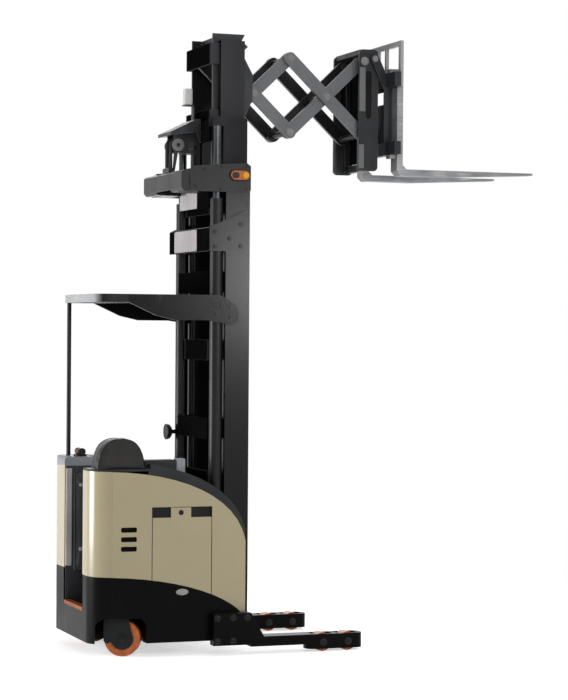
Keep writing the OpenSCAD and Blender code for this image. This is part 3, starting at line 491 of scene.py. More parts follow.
def new_tree(name, sockets):
    """An empty tree with a geometry in and out, a finish, and named inputs given as (name, kind, default)."""
    tree = bpy.data.node_groups.new(name, "GeometryNodeTree")
    tree.interface.new_socket("Geometry", in_out="INPUT", socket_type="NodeSocketGeometry")
    for title, kind, default in sockets:
        socket = tree.interface.new_socket(title, in_out="INPUT", socket_type="NodeSocket" + kind)
        socket.default_value = default
    tree.interface.new_socket("Finish", in_out="INPUT", socket_type="NodeSocketMaterial")
    tree.interface.new_socket("Geometry", in_out="OUTPUT", socket_type="NodeSocketGeometry")
    return tree, add(tree, "NodeGroupInput").outputs


def close_tree(given, shape, smooth=False):
    """Realizes the instances, gives them their finish and joins the tree's output."""
    real = out("GeometryNodeRealizeInstances", {0: shape})
    shaded = out("GeometryNodeSetShadeSmooth", {"Geometry": real, "Shade Smooth": smooth})
    dressed = out("GeometryNodeSetMaterial", {"Geometry": shaded, "Material": given["Finish"]})
    add(shape.id_data, "NodeGroupOutput", {0: dressed})


def placed_copies(points, shape, aim=None, **settings):
    """One copy of a shape on each point, its Z axis turned along aim."""
    inputs = {"Points": points, "Instance": shape}
    if aim is not None:
        inputs["Rotation"] = out("FunctionNodeAlignRotationToVector", {"Vector": aim}, axis="Z", **settings)
    return out("GeometryNodeInstanceOnPoints", inputs)


def stored_facing(tree):
    stored = add(tree, "GeometryNodeInputNamedAttribute", {"Name": "facing"}, data_type="FLOAT_VECTOR")
    return stored.outputs[0]


def new_object(name, data):
    made = bpy.data.objects.new(name, data)
    bpy.context.scene.collection.objects.link(made)
    return made


def keep(name, mesh, body):
    """Names a finished mesh as a piece of the truck that moves with a body."""
    mesh.name = name
    piece = new_object(name, mesh)
    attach(piece, body)
    return piece


def applied(piece):
    """The mesh of an object with its modifiers, as a new mesh."""
    graph = bpy.context.evaluated_depsgraph_get()
    return bpy.data.meshes.new_from_object(piece.evaluated_get(graph))


def grow(name, body, slot, finish, tree, base, **values):
    """Runs a tree on a base mesh and keeps the result as a plain piece that rides on a body."""
    seed = new_object(name + "_seed", base)
    modifier = seed.modifiers.new("tree", "NODES")
    modifier.node_group = tree
    sockets = {s.name: s.identifier for s in tree.interface.items_tree if s.in_out == "INPUT"}
    modifier[sockets["Finish"]] = finishes[finish]
    for title, value in values.items():
        modifier[sockets[title.capitalize()]] = value
    made = applied(seed)
    bpy.data.objects.remove(seed)
    return keep(name, made, body)


def point_mesh(name, seats):
    """Points with the direction that each looks in, from (place, direction) pairs."""
    mesh = bpy.data.meshes.new(name)
    mesh.from_pydata([place for place, _ in seats], [], [])
    facing = mesh.attributes.new("facing", "FLOAT_VECTOR", "POINT")
    for row, (_, direction) in zip(facing.data, seats):
        row.vector = direction
    return mesh


# %% Head tree
head_tree, given = new_tree("heads", [
    ("Across", "Float", 0.02), ("Height", "Float", 0.01), ("Washer", "Float", 0.03), ("Sides", "Int", 6)])


def times(socket, factor):
    return calc("MULTIPLY", socket, factor)


def lifted(mesh, height):
    place = out("ShaderNodeCombineXYZ", {"Z": height})
    return out("GeometryNodeTransform", {"Geometry": mesh, "Translation": place})


radius, barrel, seat = times(given["Across"], 0.5), times(given["Height"], 0.7), times(given["Height"], 0.2)
shank = out("GeometryNodeMeshCylinder", {"Vertices": given["Sides"], "Radius": radius, "Depth": barrel})
crown = out("GeometryNodeMeshCone", {
    "Vertices": given["Sides"], "Radius Bottom": radius, "Radius Top": times(radius, 0.82),
    "Depth": times(given["Height"], 0.3)})
rim = times(given["Washer"], 0.5)
washer = out("GeometryNodeMeshCylinder", {"Vertices": 20, "Radius": rim, "Depth": seat})
head = add(head_tree, "GeometryNodeJoinGeometry")
for mesh, height in ((shank, times(barrel, 0.5)), (crown, barrel), (washer, times(seat, 0.5))):
    head_tree.links.new(lifted(mesh, height), head.inputs[0])
close_tree(given, placed_copies(given["Geometry"], head.outputs[0], stored_facing(head_tree)))


def heads_on(name, body, slot, finish, seats, across, height, sides=6, washer=1.45):
    """Heads of so many millimetres across and high, on washers so many times as wide."""
    return grow(name, body, slot, finish, head_tree, point_mesh(name, seats), across=across * MM,
                height=height * MM, washer=across * washer * MM, sides=sides)


print("head tree:", len(head_tree.nodes), "nodes")

# %% [markdown]
# ## Bolts where panels meet the frame
# Bolts go where a fitter would reach them: through the guard's arms into the outer rails, round the mast's
# top hood, in the brackets of the outriggers, in the mast's ears, and in the covers. Both sides are alike,
# so every row is listed once, as X and Z on the ruler, and mirrored.

# %% Bolts on the chassis
SIDES = (-1, 1)
SIDE_NAMES = ((-1, "right"), (1, "left"))
ROUND = 24
cover_y = edge("left_cover", Y, HIGH)
leg_y = edge("left_leg", Y, HIGH)


def both_sides(points, y):
    """Seats on the two outer faces at plus and minus y, looking outwards."""
    return [(at(x, side * y, z), (0, side, 0)) for side in SIDES for x, z in points]


guard_arm = [(-138, 2318), (-138, 2250), (-200, 2330), (-235, 2275), (-640, 2378)]
hood_plate = [(-30, 3268), (-30, 3118), (-210, 3262), (-330, 3240), (-395, 3130), (-210, 3112)]
leg_bracket = [(-270, 250), (-270, 95), (-160, 250), (-160, 95), (-60, 250)]
mast_ear = [(-70, 2730), (-70, 2880), (-150, 2780), (-250, 2725), (-250, 2825)]
panel_row = [(-780, 1185), (-930, 640), (-780, 640), (-250, 820), (-120, 560), (-120, 360)]
# Name, slot, row, face that carries it, width across the head, height of the head
for name, slot, row, y, across, height in (
        ("guard_bolts", "mast_black", guard_arm, edge("overhead_guard", Y, HIGH), 30, 9),
        ("hood_bolts", "mast_black", hood_plate, edge("mast_hood", Y, HIGH), 18, 6),
        ("leg_bolts", "skirt_black", leg_bracket, leg_y, 32, 10),
        ("ear_bolts", "mast_black", mast_ear, edge("outer_mast", Y, HIGH), 24, 8)):
    heads_on(name, "chassis", slot, "dark_bolt", both_sides(row, y), across, height)
heads_on("panel_screws", "chassis", "cover_cream", "cream_enamel", both_sides(panel_row, cover_y), 11, 2.5,
         16, 1.2)
print("chassis bolts placed")

# %% [markdown]
# ## Pins of the scissor
# Each pivot of the scissor shows a round pin end with a retaining plate. The pins ride on the link that
# owns them, so a cap never slides over its neighbour when the reach folds. The joints give the pivots'
# places.

# %% Pin caps


def pivot(joint):
    return Vector(joints[joint]["pos_m"])


def caps(name, body, slot, centre, y, across, height):
    """A pin's two round ends, y millimetres to either side of the truck's middle."""
    seats = [(Vector((centre.x, side * y * MM, centre.z)), (0, side, 0)) for side in SIDES]
    return heads_on(name, body, slot, "pin_steel", seats, across, height, ROUND, 1.3)


link_y = edge("link_a", Y, HIGH)
middle_low, front_top = pivot("elbow"), pivot("frame_pivot")
middle_top = Vector((middle_low.x, 0, pivot("reach").z))
for letter, centre, across in (("a", pivot("cross_one"), 46), ("b", middle_top, 44), ("c", middle_low, 44),
                               ("d", pivot("cross_two"), 46)):
    caps("pin_caps_" + letter, "link_" + letter, "link_grey", centre, link_y, across, 6)
print("scissor from X", round(pivot("reach").x, 3), "to", round(front_top.x, 3), "m")

# %% [markdown]
# ## Plates and turned pieces
# Labels, brackets, boxes and trims are plates with rounded edges, and knobs, lamps and latches are turned.
# Two helpers make them in mesh code: `slab` grows an outline by a thickness and rounds its sharp edges, and
# `turned` spins a profile of radius and height about any axis. Both leave closed meshes whose faces look
# outwards.

# %% Mesh helpers
SHARP = math.radians(35)


def rounded(low, high, r, steps=6):
    """Corners of a flat rectangle with round corners, counter-clockwise."""
    left, right, bottom, top = low[0] + r, high[0] - r, low[1] + r, high[1] - r
    points = []
    for quarter, (x, y) in enumerate(((right, top), (left, top), (left, bottom), (right, bottom))):
        for step in range(steps + 1):
            angle = math.pi / 2 * (quarter + step / steps)
            points.append((x + r * math.cos(angle), y + r * math.sin(angle)))
    return points


def finish_mesh(bm, name, finish, bevel=0.0):
    bmesh.ops.remove_doubles(bm, verts=bm.verts, dist=1e-6)
    bmesh.ops.recalc_face_normals(bm, faces=bm.faces)
    if bevel:
        sharp = [e for e in bm.edges if len(e.link_faces) == 2 and e.calc_face_angle() > SHARP]
        bmesh.ops.bevel(bm, geom=sharp, offset=bevel * MM, segments=3, profile=0.5, affect="EDGES")
    mesh = bpy.data.meshes.new(name)
    bm.to_mesh(mesh)
    bm.free()
    mesh.materials.append(finishes[finish])
    return mesh


def slab(name, body, finish, outline, thickness, bevel=1.0):
    """A plate from its outline, points in metres, and the vector of its thickness in millimetres."""
    bm = bmesh.new()
    face = bm.faces.new([bm.verts.new(point) for point in outline])
    grown = bmesh.ops.extrude_face_region(bm, geom=[face])
    moved = [item for item in grown["geom"] if isinstance(item, bmesh.types.BMVert)]
    bmesh.ops.translate(bm, verts=moved, vec=Vector(thickness) * MM)
    return keep(name, finish_mesh(bm, name, finish, bevel), body)


def turned(name, body, finish, profile, centre, axis, sides=40):
    """A solid of revolution from (radius, height) pairs in millimetres, heights along axis from centre."""
    bm = bmesh.new()
    stand = Vector((0, 0, 1)).rotation_difference(Vector(axis)).to_matrix().to_4x4()
    place = Matrix.Translation(centre) @ stand
    angles = [2 * math.pi * i / sides for i in range(sides)]
    rings = [[bm.verts.new(place @ Vector((r * MM * math.cos(a), r * MM * math.sin(a), height * MM)))
              for a in angles] for r, height in profile]
    for lower, upper in zip(rings, rings[1:]):
        for i in range(sides):
            j = (i + 1) % sides
            bm.faces.new((lower[i], lower[j], upper[j], upper[i]))
    bm.faces.new(rings[0][::-1])
    bm.faces.new(rings[-1])
    return keep(name, finish_mesh(bm, name, finish), body)


def box_piece(name, body, finish, low, high, bevel):
    """A rounded box between two corners given on the truck's ruler."""
    corners = ((low[X], low[Y]), (high[X], low[Y]), (high[X], high[Y]), (low[X], high[Y]))
    outline = [at(x, y, low[Z]) for x, y in corners]
    return slab(name, body, finish, outline, (0, 0, high[Z] - low[Z]), bevel)


def upright(x, corners):
    """An outline that looks along X, from its Y and Z on the ruler."""
    return [at(x, y, z) for y, z in corners]


def sideways(y, corners):
    """An outline that looks along Y, from its X and Z on the ruler."""
    return [at(x, y, z) for x, z in corners]


print("mesh helpers ready")

# %% [markdown]
# ## Blank labels and the oval plate
# Two pale placards are riveted to cross ties of the mast, in the driver's view. The lower one sits on a
# dull black pad that covers the tie, and a small oval plate sits on the skirt. They stay blank. A thin slab
# with round corners and a soft edge is all that such a plate is.

# %% Labels
PLATE = 2
RIVET_INSET_Y, RIVET_INSET_Z = 14, 12
tie_back = edge("outer_mast", X, LOW)
stage_back = edge("middle_ties", X, LOW)


def placard(place, body, x, low, high):
    """A pale plate behind a tie, its low and high corners in Y and Z, with a rivet in each corner."""
    outline = upright(x, rounded(low, high, 8))
    slab(place + "_placard", body, "label_vinyl", outline, (-PLATE, 0, 0), 0.6)
    seats = [(at(x - PLATE, y, z), (-1, 0, 0)) for y in (low[0] + RIVET_INSET_Y, high[0] - RIVET_INSET_Y)
             for z in (low[1] + RIVET_INSET_Z, high[1] - RIVET_INSET_Z)]
    heads_on(place + "_rivets", body, "rim_grey", "zinc_plate", seats, 7, 2, 12, 1.1)


placard("upper", "middle_stage", stage_back, (-84, 2996), (309, 3128))
tie_face = upright(tie_back, ((-452, 2697), (452, 2697), (452, 2851), (-452, 2851)))
slab("tie_pad", "chassis", "tie_coat", tie_face, (-PLATE, 0, 0), 0.6)
placard("lower", "chassis", tie_back - PLATE, (-176, 2702), (330, 2848))
turns = [math.tau * i / 40 for i in range(40)]
oval = sideways(-cover_y, [(-493 + 43 * math.cos(a), 424 + 21 * math.sin(a)) for a in turns])
slab("oval_plate", "chassis", "zinc_plate", oval, (0, -2.5, 0), 1.0)
print("labels on ties at X", round(tie_back), "and", round(stage_back), "mm")

# %% [markdown]
# ## Battery gates: latches and painted shade behind the notches
# Each gate has a tab between its two finger notches, with a round quarter-turn latch on it. Behind the
# notches stand black rubber sheets; they are painted shade, so that the notches read as dark gaps from a
# step away.

# %% Gates
SHADE_LINER_DEPTHS = (24, 14)
latch = [(17, -1), (17, 2.5), (15.5, 4), (12, 4), (11, 2.6), (5, 2.6), (4, 5.5), (0.5, 6)]
for side, name in SIDE_NAMES:
    turned(name + "_latch", "chassis", "control_plastic", latch,
           at(-503, side * cover_y, 952), (0, side, 0), 32)
    # Black sheets behind the notches stand in for the shade in them
    near, far = sorted(side * (cover_y - depth) for depth in SHADE_LINER_DEPTHS)
    for part, rear, front in (("rear", -702, -571), ("front", -432, -289)):
        box_piece(f"{name}_{part}_shade_liner", "chassis", "mat_rubber", (rear, near, 905),
                  (front, far, 998), 2)
print("latches and liners on both gates")

# %% [markdown]
# ## Louvres behind the vents
# The vent slots in the covers are backed by tilted slats that keep water out. They repeat, so a second tree
# puts one slat on each point, turned to the direction stored there.

# %% Louvres
VENT_ROWS, VENT_PITCH, VENT_HEIGHT, SLATS = 3, 63, 33, 3
slat_tree, given = new_tree("slats", [
    ("Length", "Float", 0.1), ("Width", "Float", 0.014), ("Thickness", "Float", 0.002)])
extent = out("ShaderNodeCombineXYZ", {"X": given["Length"], "Y": given["Width"], "Z": given["Thickness"]})
slat = out("GeometryNodeMeshCube", {"Size": extent})
close_tree(given, placed_copies(given["Geometry"], slat, stored_facing(slat_tree), pivot_axis="X"))
vent_low = edge("right_cover", Z, HIGH) - 528
slat_z = [vent_low + VENT_PITCH * row + VENT_HEIGHT * (step + 0.5) / SLATS
          for row in range(VENT_ROWS) for step in range(SLATS)]
slat_seats = [(at(-861.5, side * (cover_y - 17), z), (0, side * 0.7, 0.7)) for side in SIDES for z in slat_z]
grow("vent_louvres", "chassis", "control_black", "control_plastic", slat_tree,
     point_mesh("vent_louvres", slat_seats), length=0.116, width=0.014, thickness=0.002)
print("louvre slats:", len(slat_seats))

# %% [markdown]
# ## Hoses over the sheaves
# Four hydraulic hoses run over the sheaves at the top of the middle stage. They come out of a manifold in
# front of the sheaves, wrap half a turn and hang down to a clamp block behind. A tube follows a path, so
# this is a third tree: it turns edges into a curve and sweeps a circle along it. A grooved roller guides
# the hoses on either side.

# %% Tube tree
tube_tree, given = new_tree("tubes", [("Radius", "Float", 0.01), ("Sides", "Int", 14)])
line = out("GeometryNodeMeshToCurve", {"Mesh": given["Geometry"]})
profile = out("GeometryNodeCurvePrimitiveCircle", {"Resolution": given["Sides"], "Radius": given["Radius"]},
              mode="RADIUS")
tube = out("GeometryNodeCurveToMesh", {"Curve": line, "Profile Curve": profile, "Fill Caps": True})
close_tree(given, tube, True)


def path_mesh(name, paths, closed=False):
    """One mesh of open or closed lines, from lists of points."""
    points, edges = [], []
    for path in paths:
        first = len(points)
        points += path
        edges += [(first + i, first + i + 1) for i in range(len(path) - 1)]
        if closed:
            edges.append((len(points) - 1, first))
    mesh = bpy.data.meshes.new(name)
    mesh.from_pydata(points, edges, [])
    return mesh


def tubes(name, body, slot, finish, paths, radius, closed=False):
    return grow(name, body, slot, finish, tube_tree, path_mesh(name, paths, closed), radius=radius * MM)


# %% Hoses
SHEAVE_X, SHEAVE_Z, SHEAVE_R, HOSE_R = -384, 3427, 50, 9
HOSE_LOW, HOSE_START = 3262, 3396
ROLLER_X, ROLLER_Y, ROLLER_WIDE = -404, 82, 17
wrap_r = SHEAVE_R + HOSE_R
hose_rows = (-55, -31, 31, 55)
half_turn = [math.pi * i / 16 for i in range(17)]
wrap = [(SHEAVE_X + wrap_r * math.cos(a), SHEAVE_Z + wrap_r * math.sin(a)) for a in half_turn]
route = [(SHEAVE_X + wrap_r, HOSE_START)] + wrap + [(SHEAVE_X - wrap_r, HOSE_LOW)]
routes = [sideways(y, route) for y in hose_rows]
tubes("sheave_hoses", "middle_stage", "control_black", "hose_rubber", routes, HOSE_R)
for name, low, high, bevel in (("hose_manifold", (-352, -70, 3372), (-264, 70, 3402), 3),
                               ("hose_clamp", (-466, -72, 3236), (-420, 72, 3272), 4)):
    box_piece(name, "middle_stage", "frame_coat", low, high, bevel)
strut = ((-440, 3240), (-424, 3240), (-398, 3392), (-428, 3400))
roller = [(13, 0), (13, 2), (42, 2), (42, 5), (37, 8), (42, 11), (42, 14), (31, 14), (29, 11), (15, 11),
          (13, ROLLER_WIDE), (1, ROLLER_WIDE)]
for side, name in SIDE_NAMES:
    slab("clamp_strut_" + name, "middle_stage", "frame_coat", sideways(side * 72, strut),
         (0, side * 6, 0), 1)
    turned(name + "_hose_roller", "middle_stage", "pin_steel", roller,
           at(ROLLER_X, side * ROLLER_Y, SHEAVE_Z), (0, side, 0), 32)
fittings = [(at(SHEAVE_X - wrap_r, y, 3236), (0, 0, -1)) for y in hose_rows]
heads_on("hose_fittings", "middle_stage", "rim_grey", "zinc_plate", fittings, 22, 16)
heads_on("roller_hubs", "middle_stage", "control_black", "hose_rubber",
         both_sides([(ROLLER_X, SHEAVE_Z)], ROLLER_Y + ROLLER_WIDE), 26, 3, ROUND, 1.0)
print("hoses:", len(hose_rows))

# %% [markdown]
# ## Beads beside the gates
# A rubber bead closes the gap down either side of a gate. It is a straight tube from the gate's top to its
# foot, and the foot is read from the gate's own mesh, which follows the curve of the skirt.

# %% Gate beads
BEAD_R, BEAD_GAP, BEAD_SUNK, BEAD_LIFT = 2.5, 2, 0.5, 4


def gate_foot(node, x):
    """The lowest point of a gate's mesh near one end, in millimetres."""
    near = [point.co.z for point in nodes[node].data.vertices if abs((point.co.x - MAST_FACE) / MM - x) < 6]
    return min(near) / MM


for side, name in SIDE_NAMES:
    node = name + "_gate"
    y, top = side * (cover_y - BEAD_SUNK), edge(node, Z, HIGH)
    ends = (edge(node, X, LOW) - BEAD_GAP, edge(node, X, HIGH) + BEAD_GAP)
    beads = [sideways(y, ((x, gate_foot(node, x) + BEAD_LIFT), (x, top))) for x in ends]
    tubes(node + "_beads", "chassis", "control_black", "mat_rubber", beads, BEAD_R)
print("gate beads fitted")

# %% [markdown]
# ## Rear cover of the mast hood
# A folded cover closes the hood's two trays behind and carries on across the middle as a flat plate. The
# plate stands a few millimetres behind the sheave bracket, which slides past it when the mast comes down.

# %% Rear cover
TRAY_INNER, TRAY_WIDE = 160, 285
cover_end = [(-489, 3118), (-470, 3097), (-425, 3097), (-425, 3243), (-470, 3236), (-489, 3222)]
for side, name in SIDE_NAMES:
    slab(name + "_rear_cover", "chassis", "mast_coat", sideways(side * TRAY_INNER, cover_end),
         (0, side * TRAY_WIDE, 0), 4)
middle_end = ((-489, 3118), (-482, 3112), (-482, 3228), (-489, 3222))
slab("middle_rear_cover", "chassis", "mast_coat", sideways(-TRAY_INNER - 1, middle_end),
     (0, 2 * (TRAY_INNER + 1), 0), 1)
print("rear cover on the mast hood")

# %% [markdown]
# ## Sensor post and work lamp
# A small pale sensor head stands on a bent bracket above the middle stage's cover plate, and a round work
# lamp is clamped to the far lift cylinder at the height of the driver's shoulder.

# %% Post and lamp
for name, slot, finish, low, high, bevel in (
        ("sensor_stem", "carriage_grey", "frame_coat", (-276, -26, 3598), (-268, 26, 3710), 1),
        ("sensor_shelf", "carriage_grey", "frame_coat", (-342, -30, 3702), (-268, 30, 3710), 1),
        ("sensor_head", "rim_grey", "trim_plastic", (-336, -27, 3710), (-282, 27, 3822), 5)):
    box_piece(name, "middle_stage", finish, low, high, bevel)
LAMP_X, LAMP_Z, BARREL_X, BARREL_Y = -292, 1449, -220, 385
REARWARD = (-1, 0, 0)
turned("lamp_band", "chassis", "mast_coat", [(45, -16), (48, -16), (48, 16), (45, 16)],
       at(BARREL_X, BARREL_Y, LAMP_Z), (0, 0, 1))
box_piece("lamp_arm", "chassis", "mast_coat", (-296, BARREL_Y - 12, LAMP_Z - 14),
          (-262, BARREL_Y + 12, LAMP_Z + 14), 3)
lamp_shell = [(14, 0), (34, 3), (50, 16), (55, 30), (55, 42), (51, 44), (48, 40), (46, 40)]
lamp_face = [(46, 36), (46, 40), (34, 42.5), (14, 44), (1, 44.4)]
for name, finish, outline in (("work_lamp", "control_plastic", lamp_shell),
                              ("lamp_glass", "hood_plastic", lamp_face)):
    turned(name, "chassis", finish, outline, at(LAMP_X, BARREL_Y, LAMP_Z), REARWARD)
print("sensor post and lamp placed")

# %% [markdown]
# ## Marker lamp on the mast hood
# The amber reflector gets a black bezel, a smoky lens towards its rear and a bright yellow one at its front
# end, as on the real marker lamp. The bezel is a tube that follows the oval's edge.

# %% Marker lamp
BEZEL_INSET = 2
marker_y = edge("amber_reflector", Y, LOW)
marker_rear, marker_front = edge("amber_reflector", X, LOW), edge("amber_reflector", X, HIGH)
marker_low, marker_high = edge("amber_reflector", Z, LOW), edge("amber_reflector", Z, HIGH)
marker_z, marker_r = (marker_low + marker_high) / 2, (marker_high - marker_low) / 2
rim = rounded((marker_rear + BEZEL_INSET, marker_low + BEZEL_INSET),
              (marker_front - BEZEL_INSET, marker_high - BEZEL_INSET), marker_r - BEZEL_INSET, 10)
tubes("marker_bezel", "chassis", "control_black", "control_plastic", [sideways(marker_y, rim)], 4, True)
turned("marker_spot", "chassis", "yellow_lens", [(21, -1), (21, 2), (17, 6), (9, 9), (1, 10)],
       at(marker_front - 34, marker_y, marker_z), (0, -1, 0))
smoke = rounded((marker_rear + 14, marker_z - 20), (marker_rear + 66, marker_z + 20), 18)
slab("marker_smoke", "chassis", "hood_plastic", sideways(marker_y, smoke), (0, -3, 0), 1)
print("marker lamp at Z", round(marker_z), "mm")

# %% [markdown]
# ## Padded cushions
# The backrest hump and the entry pad are foam under vinyl, so their faces swell a little between the edges.
# A cloth simulation makes that shape: a copy of the CAD piece, slightly smaller, is remeshed into even
# quads, blown up by pressure for twenty frames, and every point's move is limited. The side that rests on
# the truck is pinned and stays flat.

# %% Cushions
SHRINK, VOXEL, REST_BAND = 0.003, 0.006, 0.008
FRAMES = 20


def swell(work, start, resting, limit):
    """Blows a mesh up like a balloon, holds the resting points and limits every other point's move."""
    pins = work.vertex_groups.new(name="pins")
    pins.add([i for i, place in enumerate(start) if resting(place)], 1.0, "REPLACE")
    cloth = work.modifiers.new("cloth", "CLOTH")
    cloth.settings.vertex_group_mass = "pins"
    cloth.settings.use_pressure = True
    cloth.settings.uniform_pressure_force = 4
    cloth.settings.effector_weights.gravity = 0
    cloth.settings.quality = 5
    for step in range(1, FRAMES + 1):
        bpy.context.scene.frame_set(step)
    swollen = [vertex.co.copy() for vertex in applied(work).vertices]
    work.modifiers.clear()
    bpy.context.scene.frame_set(1)
    for vertex, before, after in zip(work.data.vertices, start, swollen):
        move = after - before
        vertex.co = before + move * min(1.0, limit / max(move.length, 1e-9))


def cushion(name, node, finish, resting, limit):
    """A padded copy of a CAD node: resting says which points stay, limit is the longest move in metres."""
    low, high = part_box(node)
    middle, size = (low + high) / 2, high - low
    shape = nodes[node].data.copy()
    for vertex in shape.vertices:
        world_place = nodes[node].matrix_world @ vertex.co
        vertex.co = [m + (p - m) * (1 - 2 * SHRINK / s) for p, m, s in zip(world_place, middle, size)]
    work = new_object(name + "_work", shape)
    remesh = work.modifiers.new("even", "REMESH")
    remesh.mode, remesh.voxel_size = "VOXEL", VOXEL
    even = applied(work)
    work.modifiers.clear()
    work.data = even
    swell(work, [vertex.co.copy() for vertex in even.vertices], resting, limit)
    smooth = work.modifiers.new("smooth", "SUBSURF")
    smooth.levels = smooth.render_levels = 1
    made = applied(work)
    bpy.data.objects.remove(work)
    made.materials.clear()
    made.materials.append(finishes[finish])
    made.shade_smooth()
    piece = keep(name, made, "chassis")
    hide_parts(node)
    return piece


pad_low, pad_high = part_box("backrest_pad")
entry_low, entry_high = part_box("entry_pad")
hump = cushion("backrest_cushion", "backrest_pad", "pad_vinyl",
               lambda place: place.z < pad_low.z + REST_BAND, 0.009)
sidepad = cushion("entry_cushion", "entry_pad", "entry_vinyl",
                  lambda place: place.y > entry_high.y - REST_BAND, 0.008)
print("cushion faces:", len(hump.data.polygons), len(sidepad.data.polygons))

# %% [markdown]
# ## Piping and stitches
# The vinyl panels meet in a piped seam: a cord of vinyl sewn between them. The piping follows the hump's
# two edges and the outline of the entry pad. A row of stitches runs beside it, each stitch one short
# capsule on the seam line.

# %% Stitch tree
stitch_tree, given = new_tree("stitches", [("Pitch", "Float", 0.009), ("Radius", "Float", 0.0011)])
seam = out("GeometryNodeMeshToCurve", {"Mesh": given["Geometry"]})
spots = add(stitch_tree, "GeometryNodeCurveToPoints", {"Curve": seam, "Length": given["Pitch"]},
            mode="LENGTH")
stitch = out("GeometryNodeMeshUVSphere", {"Segments": 8, "Rings": 6, "Radius": given["Radius"]})
capsule = out("GeometryNodeTransform", {"Geometry": stitch, "Scale": (1, 1, 3)})
close_tree(given, placed_copies(spots.outputs["Points"], capsule, spots.outputs["Tangent"]), True)


def stitches(name, paths, closed=False):
    return grow(name, "chassis", "pad_grey", "thread", stitch_tree, path_mesh(name, paths, closed),
                pitch=0.009, radius=0.0011)


# %% Seams
PIPING_INSET, STITCH_INSET, PIPING_R = 0.002, 0.022, 4
HUMP_POWER = 2.4


def hump_line(y, count=48):
    """The hump's outline at one width."""
    length, height = (pad_high.x - pad_low.x) / 2, pad_high.z - pad_low.z
    middle = (pad_high.x + pad_low.x) / 2
    line = []
    for i in range(count + 1):
        share = math.cos(math.pi * i / count)
        rise = (1 - abs(share) ** HUMP_POWER) ** (1 / HUMP_POWER)
        line.append(Vector((middle - length * share, y, pad_low.z + height * rise)))
    return line


def entry_ring(inset, step=0.02):
    """Points round the entry pad's face, so far in from its outline, no more than step apart."""
    outline = rounded((entry_low.x + inset, entry_low.z + inset),
                      (entry_high.x - inset, entry_high.z - inset), 0.02)
    corners = [Vector((x, entry_low.y, z)) for x, z in outline]
    ring = []
    for first, second in zip(corners, corners[1:] + corners[:1]):
        pieces = max(1, round((second - first).length / step))
        ring += [first.lerp(second, i / pieces) for i in range(pieces)]
    return ring


def on_cushion(piece, points):
    """The nearest points of a cushion's skin."""
    return [piece.closest_point_on_mesh(point)[1] for point in points]


def hump_pair(inset, skipped=0):
    """The hump's lines, so far in from its two sides, without the skipped points at either foot."""
    lines = [hump_line(y)[skipped:49 - skipped] for y in (pad_low.y + inset, pad_high.y - inset)]
    return [on_cushion(hump, line) for line in lines]


tubes("hump_piping", "chassis", "pad_black", "control_plastic", hump_pair(PIPING_INSET), PIPING_R)
stitches("hump_stitches", hump_pair(STITCH_INSET, 2))
tubes("entry_piping", "chassis", "pad_grey", "control_plastic",
      [on_cushion(sidepad, entry_ring(PIPING_INSET))], PIPING_R, True)
stitches("entry_stitches", [on_cushion(sidepad, entry_ring(STITCH_INSET))], True)
print("seams on both pads")

# %% [markdown]
# ## Inside the compartment
# A black rubber mat with round studs covers the floor, so that boots grip it. The studs repeat on a grid,
# which is one more tree. A pale trim runs up the entry's far edge, and two upholstery buttons hold the
# entry pad.

# %% Stud tree
stud_tree, given = new_tree("studs", [
    ("Length", "Float", 0.3), ("Width", "Float", 0.4), ("Columns", "Int", 10), ("Rows", "Int", 12),
    ("Radius", "Float", 0.008)])
field = out("GeometryNodeMeshGrid", {"Size X": given["Length"], "Size Y": given["Width"],
                                     "Vertices X": given["Columns"], "Vertices Y": given["Rows"]})
stud = out("GeometryNodeMeshCone", {
    "Vertices": 16, "Radius Bottom": given["Radius"], "Radius Top": calc("MULTIPLY", given["Radius"], 0.7),
    "Depth": 0.003})
points = add(stud_tree, "GeometryNodeInputPosition").outputs[0]
centre = add(stud_tree, "GeometryNodeAttributeStatistic",
             {"Geometry": given["Geometry"], "Attribute": points}, data_type="FLOAT_VECTOR")
mean = next(socket for socket in centre.outputs if socket.name == "Mean" and socket.type == "VECTOR")
laid = out("GeometryNodeTransform", {"Geometry": placed_copies(field, stud), "Translation": mean})
close_tree(given, laid)
print("stud tree:", len(stud_tree.nodes), "nodes")

# %% Mat and trims
MAT_LOW, MAT_HIGH, MAT_THICK = (-1056, -268), (-728, 188), 5
floor_z = edge("compartment_lining", Z, LOW)
box_piece("floor_mat", "chassis", "mat_rubber", (*MAT_LOW, floor_z - 1),
          (*MAT_HIGH, floor_z + MAT_THICK), 2)
mat_centre = at((MAT_LOW[X] + MAT_HIGH[X]) / 2, (MAT_LOW[Y] + MAT_HIGH[Y]) / 2, floor_z + MAT_THICK)
grow("mat_studs", "chassis", "control_black", "mat_rubber", stud_tree,
     point_mesh("mat_studs", [(mat_centre, (0, 0, 1))]), length=0.29, width=0.41, columns=11, rows=15,
     radius=0.009)
box_piece("entry_trim", "chassis", "trim_plastic", (-1102, 190, 545), (-1060, 202, 1212), 4)
buttons = [(Vector((entry_low.x + 0.05, entry_low.y - 0.004, z)), (0, -1, 0)) for z in (0.66, 1.1)]
heads_on("entry_buttons", "chassis", "rim_grey", "trim_plastic", buttons, 22, 5, ROUND, 1.2)
print("mat and trims laid")

# %% [markdown]
# ## Controls
# The control handle carries an orange rocker for lift and lower and a blue thumb button. The hood has a
# dark ledge with a small grey box at its front end, and the console a shallow dark tray for papers and
# gloves.

